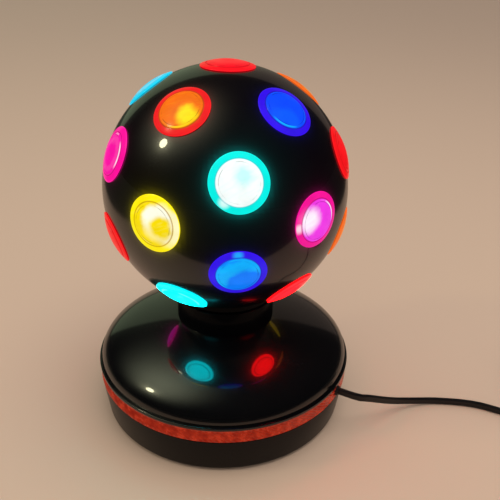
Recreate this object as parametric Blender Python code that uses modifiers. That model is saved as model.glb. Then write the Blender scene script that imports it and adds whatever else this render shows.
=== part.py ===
"""Rotating disco ball lamp.

A glossy black ball set with round coloured lenses turns on a round base. A small geared
motor in the base drives the ball's turntable through a spur gear, and a lamp stands still
on a stem inside the ball. Metres, +Z up, origin on the table under the ball's axis.
"""
import math

import bmesh
import bpy
import numpy as np
from mathutils import Vector

MM = 0.001
DEGREE = math.pi / 180
FULL_TURN = 2 * math.pi

# Clearances and overruns shared by all pieces
FIT_GAP = 0.3 * MM
RUNNING_GAP = 0.5 * MM
CUT_OVERRUN = 2.0 * MM
MERGE_DISTANCE = 0.00001

# Ball
BALL_RADIUS = 75.0 * MM
BALL_WALL = 2.4 * MM
BALL_CENTRE_HEIGHT = 156.6 * MM
BALL_OPENING_RADIUS = 27.0 * MM
BALL_SEGMENTS = 30
BALL_ARC_STEPS = 13
LOCK_NOTCH_COUNT = 3
LOCK_NOTCH_WIDTH = 11.0 * MM
LOCK_NOTCH_REACH = 3.4 * MM
LOCK_CLEARANCE = 0.6 * MM

# Lenses: one at the top, then rings of five, each ring turned by a share of its step
LENS_RADIUS = 16.0 * MM
LENS_CROWN_RISE = 2.2 * MM
LENS_FACE_CURVE = 42.0 * MM
LENS_EDGE_ROUND = 0.5 * MM
LENS_DISC_RADIUS = 12.2 * MM
LENS_GROOVE_DEPTH = 0.4 * MM
LENS_SPIGOT_RADIUS = 13.9 * MM
LENS_SPIGOT_REACH = 0.9 * MM
LENS_SEGMENTS = 14
LENSES_PER_RING = 5
LENS_RING_LATITUDES = (51.2 * DEGREE, 23.2 * DEGREE, 3.1 * DEGREE, -16.8 * DEGREE, -41.5 * DEGREE)
LENS_RING_TURNS = (0.5, 0.0, 0.5, 0.0, 0.54)
FRONT_LENS_AZIMUTH = 5.3 * DEGREE
LENS_RING_COLOURS = (
    ("blue", "orange", "magenta", "cyan", "orange"),
    ("cyan", "red", "blue", "yellow", "magenta"),
    ("magenta", "cyan", "orange", "blue", "yellow"),
    ("blue", "orange", "magenta", "cyan", "red"),
    ("red", "yellow", "blue", "magenta", "cyan"),
)

# Base: its widest edge is the cover's lip, and the rest is set back from that
LIP_RADIUS = 86.4 * MM
BAND_SETBACK = 0.5 * MM
SHOULDER_SETBACK = 0.6 * MM
LIP_LEDGE = 1.7 * MM
BAND_OUTER_RADIUS = LIP_RADIUS - BAND_SETBACK
HOUSING_SHOULDER_RADIUS = LIP_RADIUS - SHOULDER_SETBACK
DOME_FOOT_RADIUS = LIP_RADIUS - LIP_LEDGE

# Base housing and its band
HOUSING_BOTTOM = 1.5 * MM
HOUSING_FLOOR = 2.4 * MM
HOUSING_WALL = 2.4 * MM
HOUSING_TAPER = 3.2 * MM
HOUSING_EDGE_ROUND = 2.0 * MM
BAND_BOTTOM = 26.9 * MM
BAND_HEIGHT = 8.7 * MM
BAND_THICKNESS = 1.4 * MM
BASE_SEGMENTS = 36
BOSS_SEGMENTS = 12

# Top cover: rim lip, dome and neck
LIP_THICKNESS = 2.2 * MM
LIP_EDGE_ROUND = 0.5 * MM
COVER_WALL = 2.4 * MM
COVER_SKIRT_DEPTH = 4.0 * MM
COVER_SKIRT_WALL = 2.0 * MM
DOME_CROWN_HEIGHT = 66.6 * MM
DOME_SHOULDER_HEIGHT = 39.6 * MM
DOME_SPREAD = 5 / 3
DOME_ARC_STEPS = 8
DOME_INSIDE_STEPS = 5
NECK_RADIUS = 32.5 * MM
NECK_WALL = 2.6 * MM

# Cover screws, in bosses under the dome
COVER_SCREW_COUNT = 3
COVER_SCREW_CIRCLE = 42.0 * MM
COVER_SCREW_FIRST_ANGLE = -90 * DEGREE
COVER_BOSS_RADIUS = 4.2 * MM
COVER_BOSS_BOTTOM = 24.0 * MM
HOUSING_POST_RADIUS = 5.4 * MM
COUNTERBORE_RADIUS = 4.1 * MM
COUNTERBORE_DEPTH = 12.5 * MM
SCREW_RADIUS = 1.5 * MM
SCREW_HOLE_RADIUS = 1.9 * MM
SCREW_HEAD_RADIUS = 3.4 * MM
SCREW_HEAD_HEIGHT = 2.4 * MM
COVER_SCREW_LENGTH = 22.0 * MM
SCREW_SEGMENTS = 8

# Rubber feet
FOOT_COUNT = 4
FOOT_CIRCLE = 66.0 * MM
FOOT_RADIUS = 6.0 * MM
FOOT_INSET = 1.1 * MM
FOOT_EDGE_ROUND = 0.6 * MM
FOOT_FIRST_ANGLE = 45 * DEGREE

# Lamp stem and its seat on the housing floor
STEM_RADIUS = 9.0 * MM
STEM_BORE_RADIUS = 6.4 * MM
STEM_TOP = 96.6 * MM
STEM_FLANGE_RADIUS = 17.0 * MM
STEM_FLANGE_THICKNESS = 2.6 * MM
STEM_PAD_RADIUS = 19.0 * MM
STEM_PAD_RISE = 1.8 * MM
STEM_COLLAR_RADIUS = 11.8 * MM
STEM_COLLAR_DEPTH = 3.2 * MM
STEM_SCREW_OFFSET = 13.0 * MM
STEM_SCREW_DEPTH = 2.6 * MM
STEM_SCREW_HEAD_RADIUS = 2.8 * MM
STEM_SLOT_HEIGHT = 14.0 * MM
STEM_SLOT_RADIUS = 2.4 * MM
STEM_SEGMENTS = 14
WASHER_THICKNESS = 0.8 * MM
WASHER_RADIUS = 12.2 * MM

# Turntable: saucer under the ball, spigot with lock lugs, hub with its gear
TURNTABLE_RADIUS = 33.3 * MM
TURNTABLE_RIM_DROP = 3.4 * MM
TURNTABLE_WEB = 2.4 * MM
TURNTABLE_UNDERSIDE = 84.0 * MM
SPIGOT_WALL = 2.2 * MM
SPIGOT_LUG_HEIGHT = 2.0 * MM
SPIGOT_LUG_WIDTH = 9.0 * MM
SPIGOT_LUG_REACH = 2.7 * MM
HUB_RADIUS = 12.3 * MM
HUB_BOTTOM = 59.6 * MM
HUB_BORE_RADIUS = STEM_RADIUS + FIT_GAP
SEAT_ARC_STEPS = 2

# Spur gears
GEAR_MODULE = 1.0 * MM
HUB_GEAR_TEETH = 30
PINION_TEETH = 12
GEAR_FACE_WIDTH = 6.0 * MM
PINION_OVERHANG = 0.6 * MM
TOOTH_BACKLASH = 0.3 * MM
PRESSURE_ANGLE = 20 * DEGREE
ADDENDUM = 0.9 * GEAR_MODULE
DEDENDUM = 1.2 * GEAR_MODULE
CENTRE_DISTANCE = GEAR_MODULE * (HUB_GEAR_TEETH + PINION_TEETH) / 2
SHAFT_RADIUS = 3.0 * MM
SHAFT_ENGAGEMENT = 4.0 * MM

# Geared motor, hung under the dome behind the stem
MOTOR_RADIUS = 21.0 * MM
MOTOR_HEIGHT = 19.0 * MM
MOTOR_TOP = 47.4 * MM
MOTOR_SHAFT_OFFSET = 10.2 * MM
MOTOR_EDGE_ROUND = 1.2 * MM
MOTOR_EAR_OFFSET = 26.0 * MM
MOTOR_EAR_RADIUS = 4.6 * MM
MOTOR_PLATE_THICKNESS = 1.2 * MM
MOTOR_BOSS_RADIUS = 3.6 * MM
MOTOR_SCREW_RADIUS = 1.3 * MM
MOTOR_SCREW_LENGTH = 8.0 * MM
MOTOR_SCREW_HOLE_RADIUS = 1.7 * MM
MOTOR_SCREW_HEAD_RADIUS = 2.6 * MM
MOTOR_SCREW_HEAD_HEIGHT = 1.8 * MM
MOTOR_SEGMENTS = 28

# Lamp holder and bulb
HOLDER_RADIUS = 12.0 * MM
HOLDER_BOTTOM = 89.0 * MM
HOLDER_TOP = 122.0 * MM
HOLDER_FLOOR = 2.0 * MM
HOLDER_CUP_RADIUS = 8.2 * MM
HOLDER_LEAD_HOLE_RADIUS = 2.4 * MM
BULB_CAP_RADIUS = 7.0 * MM
BULB_CAP_BOTTOM = 101.0 * MM
BULB_CAP_LENGTH = 20.0 * MM
BULB_TIP_RADIUS = 3.0 * MM
BULB_RADIUS = 16.0 * MM
BULB_LENGTH = 56.0 * MM
BULB_NECK_RADIUS = 6.6 * MM
BULB_GLASS_WALL = 1.0 * MM
BULB_SEGMENTS = 14
BULB_ARC_STEPS = 6

# Cord, where it leaves the base at the right of the front
CORD_AZIMUTH = -30 * DEGREE
CORD_EXIT_HEIGHT = 31.0 * MM
CORD_DIAMETER = 5.2 * MM
CORD_SIDES = 2
COIL_SIDES = 1
CORD_LENGTH = 1800 * MM
RELIEF_HOLE_RADIUS = 3.7 * MM
RELIEF_NOSE_LENGTH = 1.2 * MM
RELIEF_NOSE_RADIUS = 3.0 * MM
RELIEF_FLANGE_RADIUS = 4.6 * MM
RELIEF_SEAT_DEPTH = 0.5 * MM
RELIEF_FLANGE_THICKNESS = 2.4 * MM
RELIEF_TAIL_LENGTH = 16.0 * MM
RELIEF_TAIL_RADIUS = 3.3 * MM
RELIEF_SEGMENTS = 14

# Terminal block and inner leads
TERMINAL_LENGTH = 18.0 * MM
TERMINAL_WIDTH = 11.0 * MM
TERMINAL_HEIGHT = 9.0 * MM
TERMINAL_DISTANCE = 52.0 * MM
TERMINAL_EDGE_ROUND = 0.8 * MM
LEAD_RADIUS = 1.2 * MM
LEAD_SIDES = 1
LEAD_POINT_STEP = 8 * LEAD_RADIUS
LEAD_END_STRAIGHT = 3 * LEAD_RADIUS

# Cord route from the base to its coil, chosen by hand: out, down and along the table
CORD_ROUTE = (
    Vector((89.0, -47.6, 28.6)) * MM,
    Vector((96.0, -44.6, 25.4)) * MM,
    Vector((104.0, -40.2, 20.6)) * MM,
    Vector((112.0, -35.2, 15.4)) * MM,
    Vector((120.0, -30.4, 10.8)) * MM,
    Vector((129.0, -26.0, 7.0)) * MM,
    Vector((140.0, -22.8, 4.2)) * MM,
    Vector((152.0, -21.2, 2.8)) * MM,
    Vector((170.0, -23.0, 2.7)) * MM,
    Vector((183.0, -26.2, 2.7)) * MM,
    Vector((196.0, -32.4, 2.7)) * MM,
    Vector((209.0, -39.4, 2.7)) * MM,
    Vector((224.0, -45.4, 2.7)) * MM,
    Vector((240.0, -47.8, 2.7)) * MM,
)
CORD_POINT_STEP = 2.4 * CORD_DIAMETER
CURVE_STEPS = 12

# Coil of the cord that is put away, wound in and out again in two layers
COIL_CENTRE = Vector((268.0, -5.6)) * MM
COIL_INNER_RADIUS = 19.5 * MM
COIL_PITCH = 5.7 * MM
COIL_TURNS_PER_LAYER = 3.75
COIL_CLIMB_TURNS = 0.5
COIL_POINTS_PER_TURN = 24
COIL_START_ANGLE = -90 * DEGREE
COIL_TAIL_LENGTH = 40.0 * MM
COIL_GAP_LIMIT = 0.4 * MM
COIL_GAP_SAMPLES = 4

# Plug
PLUG_LENGTH = 22.0 * MM
PLUG_WIDTH = 24.0 * MM
PLUG_EDGE_ROUND = 2.5 * MM
PLUG_NOSE_LENGTH = 9.0 * MM
PLUG_NOSE_RADIUS = 4.6 * MM
PLUG_NOSE_END_RADIUS = 3.4 * MM
BLADE_SPACING = 12.7 * MM
BLADE_LENGTH = 17.0 * MM
BLADE_WIDTH = 6.3 * MM
BLADE_THICKNESS = 1.5 * MM

# Sizes that follow from the ones above
BALL_INNER_RADIUS = BALL_RADIUS - BALL_WALL
FLOOR_TOP = HOUSING_BOTTOM + HOUSING_FLOOR
PAD_TOP = FLOOR_TOP + STEM_PAD_RISE
HOUSING_BOTTOM_RADIUS = HOUSING_SHOULDER_RADIUS - HOUSING_TAPER
BAND_TOP = BAND_BOTTOM + BAND_HEIGHT
BAND_INNER_RADIUS = BAND_OUTER_RADIUS - BAND_THICKNESS
RECESS_RADIUS = BAND_INNER_RADIUS - FIT_GAP
HOUSING_INNER_RADIUS = RECESS_RADIUS - HOUSING_WALL
LIP_BOTTOM = BAND_TOP + FIT_GAP
LIP_TOP = LIP_BOTTOM + LIP_THICKNESS
NECK_TOP = TURNTABLE_UNDERSIDE - RUNNING_GAP
SPIGOT_RADIUS = BALL_OPENING_RADIUS - FIT_GAP
COLLAR_TOP = HUB_BOTTOM - WASHER_THICKNESS - 2 * FIT_GAP
CORD_RADIUS = CORD_DIAMETER / 2
MOTOR_CENTRE_Y = CENTRE_DISTANCE + MOTOR_SHAFT_OFFSET
COIL_MIDDLE_TURNS = COIL_TURNS_PER_LAYER + COIL_CLIMB_TURNS / 2
COIL_BOTTOM_HEIGHT = CORD_ROUTE[-1].z
COIL_TOP_HEIGHT = COIL_BOTTOM_HEIGHT + COIL_PITCH
PLUG_HEIGHT = 2 * COIL_TOP_HEIGHT


def clear_scene():
    for old in list(bpy.data.objects):
        bpy.data.objects.remove(old, do_unlink=True)


clear_scene()
PARTS = bpy.data.collections.new("rotating_disco_ball_lamp")
CUTTERS = bpy.data.collections.new("cutters")
bpy.context.scene.collection.children.link(PARTS)
bpy.context.scene.collection.children.link(CUTTERS)


def make_material(name, colour, roughness, metallic=0.0):
    material = bpy.data.materials.new(name)
    material.use_nodes = True
    shader = material.node_tree.nodes["Principled BSDF"]
    shader.inputs["Base Color"].default_value = (*colour, 1.0)
    shader.inputs["Roughness"].default_value = roughness
    shader.inputs["Metallic"].default_value = metallic
    return material


BLACK_GLOSS = make_material("black_gloss_plastic", (0.012, 0.012, 0.014), 0.08)
BLACK_SATIN = make_material("black_satin_plastic", (0.02, 0.02, 0.022), 0.35)
BAND_RED = make_material("red_prismatic_band", (0.72, 0.05, 0.03), 0.25)
NYLON = make_material("natural_nylon", (0.78, 0.76, 0.68), 0.4)
PORCELAIN = make_material("white_lamp_holder", (0.85, 0.84, 0.8), 0.3)
STEEL = make_material("plated_steel", (0.6, 0.6, 0.6), 0.25, 1.0)
BRASS = make_material("brass", (0.75, 0.55, 0.25), 0.25, 1.0)
RUBBER = make_material("black_rubber", (0.02, 0.02, 0.02), 0.8)
GLASS = make_material("clear_glass", (0.95, 0.95, 0.92), 0.05)
VINYL = make_material("black_cord_vinyl", (0.02, 0.02, 0.02), 0.4)
LENS_MATERIALS = {
    "red": make_material("red_lens", (0.85, 0.02, 0.03), 0.08),
    "orange": make_material("orange_lens", (0.95, 0.3, 0.02), 0.08),
    "yellow": make_material("yellow_lens", (0.95, 0.75, 0.05), 0.08),
    "magenta": make_material("magenta_lens", (0.85, 0.03, 0.35), 0.08),
    "blue": make_material("blue_lens", (0.05, 0.15, 0.95), 0.08),
    "cyan": make_material("cyan_lens", (0.02, 0.7, 0.8), 0.08),
}


def add_part(name, data, material, collection=None):
    """Link a mesh or curve as a named part, or into a collection of tools."""
    part = bpy.data.objects.new(name, data)
    (collection or PARTS).objects.link(part)
    if not data.materials:
        data.materials.append(material)
    return part


def polyline_mesh(name, points, closed):
    """Edges through points (x, z) in the XZ plane, ready for a Screw modifier."""
    mesh = bpy.data.meshes.new(name)
    count = len(points)
    edges = [(i, i + 1) for i in range(count - 1)]
    if closed:
        edges.append((count - 1, 0))
    mesh.from_pydata([(x, 0.0, z) for x, z in points], edges, [])
    return mesh


def add_screw(part, segments):
    turn = part.modifiers.new("turn", "SCREW")
    turn.axis = "Z"
    turn.angle = FULL_TURN
    turn.steps = segments
    turn.render_steps = segments
    turn.use_merge_vertices = True
    turn.merge_threshold = MERGE_DISTANCE
    turn.use_smooth_shade = True


def turned(name, outline, segments, material, closed=True, collection=None):
    """Turn an outline about Z. It runs down its outer side and back up inside."""
    part = add_part(name, polyline_mesh(name, outline, closed), material, collection)
    add_screw(part, segments)
    return part


def hide_tool(tool):
    tool.hide_render = True
    tool.display_type = "WIRE"


def tool_group(name):
    group = bpy.data.collections.new(name)
    CUTTERS.children.link(group)
    return group


def tool_cylinder(group, name, radius, bottom, top, segments, centre=(0.0, 0.0)):
    outline = [(0.0, top), (radius, top), (radius, bottom), (0.0, bottom)]
    tool = turned(name, outline, segments, BLACK_SATIN, closed=False, collection=group)
    tool.location = (centre[0], centre[1], 0.0)
    hide_tool(tool)
    return tool


def box(name, size, material, collection=None, edge_round=0.0, edge_steps=1):
    mesh = bpy.data.meshes.new(name)
    shape = bmesh.new()
    bmesh.ops.create_cube(shape, size=1.0)
    bmesh.ops.scale(shape, vec=size, verts=shape.verts)
    shape.to_mesh(mesh)
    shape.free()
    part = add_part(name, mesh, material, collection)
    if edge_round:
        edges = part.modifiers.new("edges", "BEVEL")
        edges.width = edge_round
        edges.segments = edge_steps
    if collection:
        hide_tool(part)
    return part


def combine(part, operation, group):
    change = part.modifiers.new(operation.lower(), "BOOLEAN")
    change.operation = operation
    change.operand_type = "COLLECTION"
    change.collection = group
    change.solver = "EXACT"


def sphere_height(sphere_radius, radius):
    """How far below the ball's centre a sphere passes at this distance from the axis."""
    return math.sqrt(sphere_radius**2 - radius**2)


def arc(centre, radius, start, end, steps):
    """Points on an arc in the (x, z) plane, angles from +X towards +Z."""
    angles = [start + (end - start) * i / steps for i in range(steps + 1)]
    return [(centre[0] + radius * math.cos(a), centre[1] + radius * math.sin(a)) for a in angles]


def round_curve(points, step):
    """Even points along a smooth curve, whose first and last stretches stay straight."""
    fine = []
    for a, b, c, d in zip(points, points[1:], points[2:], points[3:]):
        for i in range(CURVE_STEPS):
            t = i / CURVE_STEPS
            bend = (c - a) * t + (2 * a - 5 * b + 4 * c - d) * t**2 + (3 * b - a - 3 * c + d) * t**3
            fine.append(b + 0.5 * bend)
    fine.append(points[-2])
    lengths = [0.0]
    for near, far in zip(fine, fine[1:]):
        lengths.append(lengths[-1] + (far - near).length)
    count = max(2, round(lengths[-1] / step))
    path = [points[0]]
    k = 0
    for i in range(count + 1):
        wanted = lengths[-1] * i / count
        while k < len(fine) - 2 and lengths[k + 1] < wanted:
            k += 1
        share = (wanted - lengths[k]) / (lengths[k + 1] - lengths[k])
        path.append(fine[k].lerp(fine[k + 1], share))
    path.append(points[-1])
    return path


def path_length(points):
    return sum((far - near).length for near, far in zip(points, points[1:]))


def tube(name, points, radius, resolution, material):
    curve = bpy.data.curves.new(name, "CURVE")
    curve.dimensions = "3D"
    curve.bevel_depth = radius
    curve.bevel_resolution = resolution
    curve.use_fill_caps = True
    spline = curve.splines.new("POLY")
    spline.points.add(len(points) - 1)
    for place, point in zip(spline.points, points):
        place.co = (*point, 1.0)
    return add_part(name, curve, material)


def flat_shape(name, outlines, bottom, thickness, material, group=None, centre=(0.0, 0.0)):
    """A closed mesh of flat outlines, the first the outside and the rest holes."""
    curve = bpy.data.curves.new(name, "CURVE")
    curve.dimensions = "2D"
    curve.fill_mode = "BOTH"
    curve.extrude = thickness / 2
    for outline in outlines:
        spline = curve.splines.new("POLY")
        spline.points.add(len(outline) - 1)
        for place, (x, y) in zip(spline.points, outline):
            place.co = (x, y, 0.0, 1.0)
        spline.use_cyclic_u = True
    source = bpy.data.objects.new(name + "_outline", curve)
    CUTTERS.objects.link(source)
    graph = bpy.context.evaluated_depsgraph_get()
    mesh = bpy.data.meshes.new_from_object(source.evaluated_get(graph))
    mesh.name = name
    bpy.data.objects.remove(source)
    part = add_part(name, mesh, material, group)
    weld = part.modifiers.new("weld", "WELD")
    weld.merge_threshold = MERGE_DISTANCE
    part.location = (centre[0], centre[1], bottom + thickness / 2)
    if group:
        hide_tool(part)
    return part


def gear_outline(teeth, first_angle):
    """Straight-flanked teeth, thinned for backlash, the first centred on the angle."""
    pitch_radius = GEAR_MODULE * teeth / 2
    tip_radius = pitch_radius + ADDENDUM
    root_radius = pitch_radius - DEDENDUM
    half_pitch_width = (math.pi * GEAR_MODULE / 2 - TOOTH_BACKLASH) / 2
    half_root = (half_pitch_width + DEDENDUM * math.tan(PRESSURE_ANGLE)) / root_radius
    half_tip = (half_pitch_width - ADDENDUM * math.tan(PRESSURE_ANGLE)) / tip_radius
    points = []
    for i in range(teeth):
        middle = first_angle + FULL_TURN * i / teeth
        for radius, offset in (
            (root_radius, -half_root), (tip_radius, -half_tip), (tip_radius, half_tip), (root_radius, half_root)
        ):
            points.append((radius * math.cos(middle + offset), radius * math.sin(middle + offset)))
    return points


def circle_outline(radius, sides, centre=(0.0, 0.0)):
    angles = [FULL_TURN * i / sides for i in range(sides)]
    return [(centre[0] + radius * math.cos(a), centre[1] + radius * math.sin(a)) for a in angles]


def radial_point(distance, angle, height=0.0):
    return Vector((distance * math.cos(angle), distance * math.sin(angle), height))


def machine_screw(name, head_radius, head_height, radius, length, place, points_up, material=STEEL):
    """A screw whose head's seat is at the place, with its shank above or below it."""
    outline = [
        (0.0, length), (radius, length), (radius, 0.0), (head_radius, 0.0),
        (head_radius, -head_height), (0.0, -head_height),
    ]
    screw = turned(name, outline, SCREW_SEGMENTS, material, closed=False)
    screw.location = place
    if not points_up:
        screw.rotation_euler = (math.pi, 0.0, 0.0)
    return screw


def lens_directions():
    """Direction and colour of each lens, azimuth counted from the front, -Y."""
    places = [(Vector((0.0, 0.0, 1.0)), "red")]
    for latitude, turn, colours in zip(LENS_RING_LATITUDES, LENS_RING_TURNS, LENS_RING_COLOURS):
        for i in range(LENSES_PER_RING):
            azimuth = FRONT_LENS_AZIMUTH + FULL_TURN * (i + turn) / LENSES_PER_RING
            level = math.cos(latitude)
            direction = Vector((level * math.sin(azimuth), -level * math.cos(azimuth), math.sin(latitude)))
            places.append((direction, colours[i]))
    return places


def aim_up(part, direction):
    part.rotation_euler = direction.to_track_quat("Z", "Y").to_euler()


def base_housing():
    """Round tray with a recess for the band, a stem pad, screw posts and foot seats."""
    bottom_corner = HOUSING_BOTTOM_RADIUS - HOUSING_EDGE_ROUND
    outline = [
        (RECESS_RADIUS, BAND_TOP),
        (RECESS_RADIUS, BAND_BOTTOM - FIT_GAP),
        (HOUSING_SHOULDER_RADIUS, BAND_BOTTOM - FIT_GAP),
        (HOUSING_BOTTOM_RADIUS, HOUSING_BOTTOM + HOUSING_EDGE_ROUND),
        (bottom_corner + HOUSING_EDGE_ROUND * math.sin(math.pi / 4),
         HOUSING_BOTTOM + HOUSING_EDGE_ROUND * (1 - math.cos(math.pi / 4))),
        (bottom_corner, HOUSING_BOTTOM),
        (0.0, HOUSING_BOTTOM),
        (0.0, PAD_TOP),
        (STEM_PAD_RADIUS, PAD_TOP),
        (STEM_PAD_RADIUS, FLOOR_TOP),
        (bottom_corner - HOUSING_WALL, FLOOR_TOP),
        (HOUSING_INNER_RADIUS, FLOOR_TOP + (BAND_BOTTOM - FLOOR_TOP) / 2),
        (HOUSING_INNER_RADIUS, BAND_TOP),
    ]
    housing = turned("base_housing", outline, BASE_SEGMENTS, BLACK_GLOSS)
    posts = tool_group("housing_posts")
    holes = tool_group("housing_holes")
    for i in range(COVER_SCREW_COUNT):
        angle = COVER_SCREW_FIRST_ANGLE + FULL_TURN * i / COVER_SCREW_COUNT
        centre = radial_point(COVER_SCREW_CIRCLE, angle)
        post_top = COVER_BOSS_BOTTOM - FIT_GAP
        middle = HOUSING_BOTTOM + HOUSING_FLOOR / 2
        tool_cylinder(posts, f"housing_post_{i + 1}", HOUSING_POST_RADIUS, middle, post_top, BOSS_SEGMENTS, centre)
        tool_cylinder(holes, f"screw_hole_{i + 1}", SCREW_HOLE_RADIUS, HOUSING_BOTTOM,
                      post_top + CUT_OVERRUN, SCREW_SEGMENTS, centre)
        tool_cylinder(holes, f"counterbore_{i + 1}", COUNTERBORE_RADIUS, HOUSING_BOTTOM - CUT_OVERRUN,
                      HOUSING_BOTTOM + COUNTERBORE_DEPTH, BOSS_SEGMENTS, centre)
    for i in range(FOOT_COUNT):
        centre = radial_point(FOOT_CIRCLE, FOOT_FIRST_ANGLE + FULL_TURN * i / FOOT_COUNT)
        tool_cylinder(holes, f"foot_seat_{i + 1}", FOOT_RADIUS + FIT_GAP, HOUSING_BOTTOM - CUT_OVERRUN,
                      HOUSING_BOTTOM + FOOT_INSET + FIT_GAP, BOSS_SEGMENTS, centre)
    for side in (-1, 1):
        tool_cylinder(holes, f"stem_screw_hole_{side}", SCREW_HOLE_RADIUS,
                      PAD_TOP - STEM_SCREW_DEPTH - FIT_GAP, PAD_TOP + CUT_OVERRUN, SCREW_SEGMENTS,
                      (side * STEM_SCREW_OFFSET, 0.0))
    relief_hole(holes, "housing_cord_hole")
    seat = tool_cylinder(holes, "relief_seat", RELIEF_FLANGE_RADIUS + FIT_GAP, -2 * CUT_OVERRUN,
                         RELIEF_SEAT_DEPTH, RELIEF_SEGMENTS)
    aim_up(seat, radial_point(1.0, CORD_AZIMUTH))
    seat.location = radial_point(HOUSING_INNER_RADIUS, CORD_AZIMUTH, CORD_EXIT_HEIGHT)
    combine(housing, "UNION", posts)
    combine(housing, "DIFFERENCE", holes)


def relief_hole(group, name):
    """Round hole on the cord's azimuth, through the band and the housing wall."""
    reach = BAND_OUTER_RADIUS - HOUSING_INNER_RADIUS + 2 * CUT_OVERRUN
    hole = tool_cylinder(group, name, RELIEF_HOLE_RADIUS, -reach / 2, reach / 2, RELIEF_SEGMENTS)
    aim_up(hole, radial_point(1.0, CORD_AZIMUTH))
    hole.location = radial_point((BAND_OUTER_RADIUS + HOUSING_INNER_RADIUS) / 2, CORD_AZIMUTH, CORD_EXIT_HEIGHT)


def base_band():
    outline = [
        (BAND_OUTER_RADIUS, BAND_TOP),
        (BAND_OUTER_RADIUS, BAND_BOTTOM),
        (BAND_INNER_RADIUS, BAND_BOTTOM),
        (BAND_INNER_RADIUS, BAND_TOP),
    ]
    band = turned("base_band", outline, BASE_SEGMENTS, BAND_RED)
    hole = tool_group("band_holes")
    relief_hole(hole, "band_cord_hole")
    combine(band, "DIFFERENCE", hole)


def dome_arc(inset, steps):
    """Curve from the neck out to the foot, moved in by the inset and upright at the foot."""
    reach = DOME_FOOT_RADIUS - NECK_RADIUS - inset
    rise = DOME_CROWN_HEIGHT - DOME_SHOULDER_HEIGHT - inset
    angles = [math.pi / 2 * i / steps for i in range(steps + 1)]
    return [(NECK_RADIUS + reach * math.sin(a) ** DOME_SPREAD, DOME_SHOULDER_HEIGHT + rise * math.cos(a))
            for a in angles]


def dome_height(radius):
    """Height of the dome's outer face at a radius."""
    share = (radius - NECK_RADIUS) / (DOME_FOOT_RADIUS - NECK_RADIUS)
    rise = DOME_CROWN_HEIGHT - DOME_SHOULDER_HEIGHT
    return DOME_SHOULDER_HEIGHT + rise * math.sqrt(1 - share ** (2 / DOME_SPREAD))


def top_cover():
    """Shell of neck, dome and rim lip, with a skirt that nests in the housing."""
    skirt_outer = HOUSING_INNER_RADIUS - FIT_GAP
    skirt_inner = skirt_outer - COVER_SKIRT_WALL
    skirt_bottom = LIP_BOTTOM - COVER_SKIRT_DEPTH
    inner_dome = [point for point in reversed(dome_arc(COVER_WALL, DOME_INSIDE_STEPS)) if point[1] > LIP_TOP]
    outline = [
        (NECK_RADIUS, NECK_TOP),
        *dome_arc(0.0, DOME_ARC_STEPS),
        (DOME_FOOT_RADIUS, LIP_TOP),
        (LIP_RADIUS - LIP_EDGE_ROUND, LIP_TOP),
        (LIP_RADIUS, LIP_TOP - LIP_EDGE_ROUND),
        (LIP_RADIUS, LIP_BOTTOM + LIP_EDGE_ROUND),
        (LIP_RADIUS - LIP_EDGE_ROUND, LIP_BOTTOM),
        (skirt_outer, LIP_BOTTOM),
        (skirt_outer, skirt_bottom),
        (skirt_inner, skirt_bottom),
        *inner_dome,
        (NECK_RADIUS - NECK_WALL, DOME_CROWN_HEIGHT - COVER_WALL),
        (NECK_RADIUS - NECK_WALL, NECK_TOP),
    ]
    cover = turned("top_cover", outline, BASE_SEGMENTS, BLACK_GLOSS)
    bosses = tool_group("cover_bosses")
    holes = tool_group("cover_boss_holes")
    boss_top = dome_height(COVER_SCREW_CIRCLE + COVER_BOSS_RADIUS) - FIT_GAP
    for i in range(COVER_SCREW_COUNT):
        angle = COVER_SCREW_FIRST_ANGLE + FULL_TURN * i / COVER_SCREW_COUNT
        centre = radial_point(COVER_SCREW_CIRCLE, angle)
        tool_cylinder(bosses, f"cover_boss_{i + 1}", COVER_BOSS_RADIUS, COVER_BOSS_BOTTOM, boss_top,
                      BOSS_SEGMENTS, centre)
        screw_top = HOUSING_BOTTOM + COUNTERBORE_DEPTH + COVER_SCREW_LENGTH
        tool_cylinder(holes, f"cover_boss_hole_{i + 1}", SCREW_HOLE_RADIUS, COVER_BOSS_BOTTOM - CUT_OVERRUN,
                      screw_top + FIT_GAP, SCREW_SEGMENTS, centre)
    for side in (-1, 1):
        centre = (side * MOTOR_EAR_OFFSET, MOTOR_CENTRE_Y)
        boss_bottom = MOTOR_TOP + MOTOR_PLATE_THICKNESS + 2 * FIT_GAP
        tool_cylinder(bosses, f"motor_boss_{side}", MOTOR_BOSS_RADIUS, boss_bottom, boss_top, BOSS_SEGMENTS, centre)
        tool_cylinder(holes, f"motor_boss_hole_{side}", MOTOR_SCREW_HOLE_RADIUS, boss_bottom - CUT_OVERRUN,
                      MOTOR_TOP + MOTOR_SCREW_LENGTH + FIT_GAP, SCREW_SEGMENTS, centre)
    notch_depth = COVER_SKIRT_WALL + 2 * CUT_OVERRUN
    notch = tool_cylinder(holes, "relief_notch", RELIEF_FLANGE_RADIUS + 2 * FIT_GAP, -notch_depth, FIT_GAP,
                          RELIEF_SEGMENTS)
    aim_up(notch, radial_point(1.0, CORD_AZIMUTH))
    notch.location = radial_point(skirt_outer, CORD_AZIMUTH, CORD_EXIT_HEIGHT)
    combine(cover, "UNION", bosses)
    combine(cover, "DIFFERENCE", holes)


def feet():
    outline = [
        (0.0, HOUSING_BOTTOM + FOOT_INSET),
        (FOOT_RADIUS, HOUSING_BOTTOM + FOOT_INSET),
        (FOOT_RADIUS, FOOT_EDGE_ROUND),
        (FOOT_RADIUS - FOOT_EDGE_ROUND, 0.0),
        (0.0, 0.0),
    ]
    for i in range(FOOT_COUNT):
        foot = turned(f"foot_{i + 1}", outline, BOSS_SEGMENTS, RUBBER, closed=False)
        foot.location = radial_point(FOOT_CIRCLE, FOOT_FIRST_ANGLE + FULL_TURN * i / FOOT_COUNT)


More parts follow.
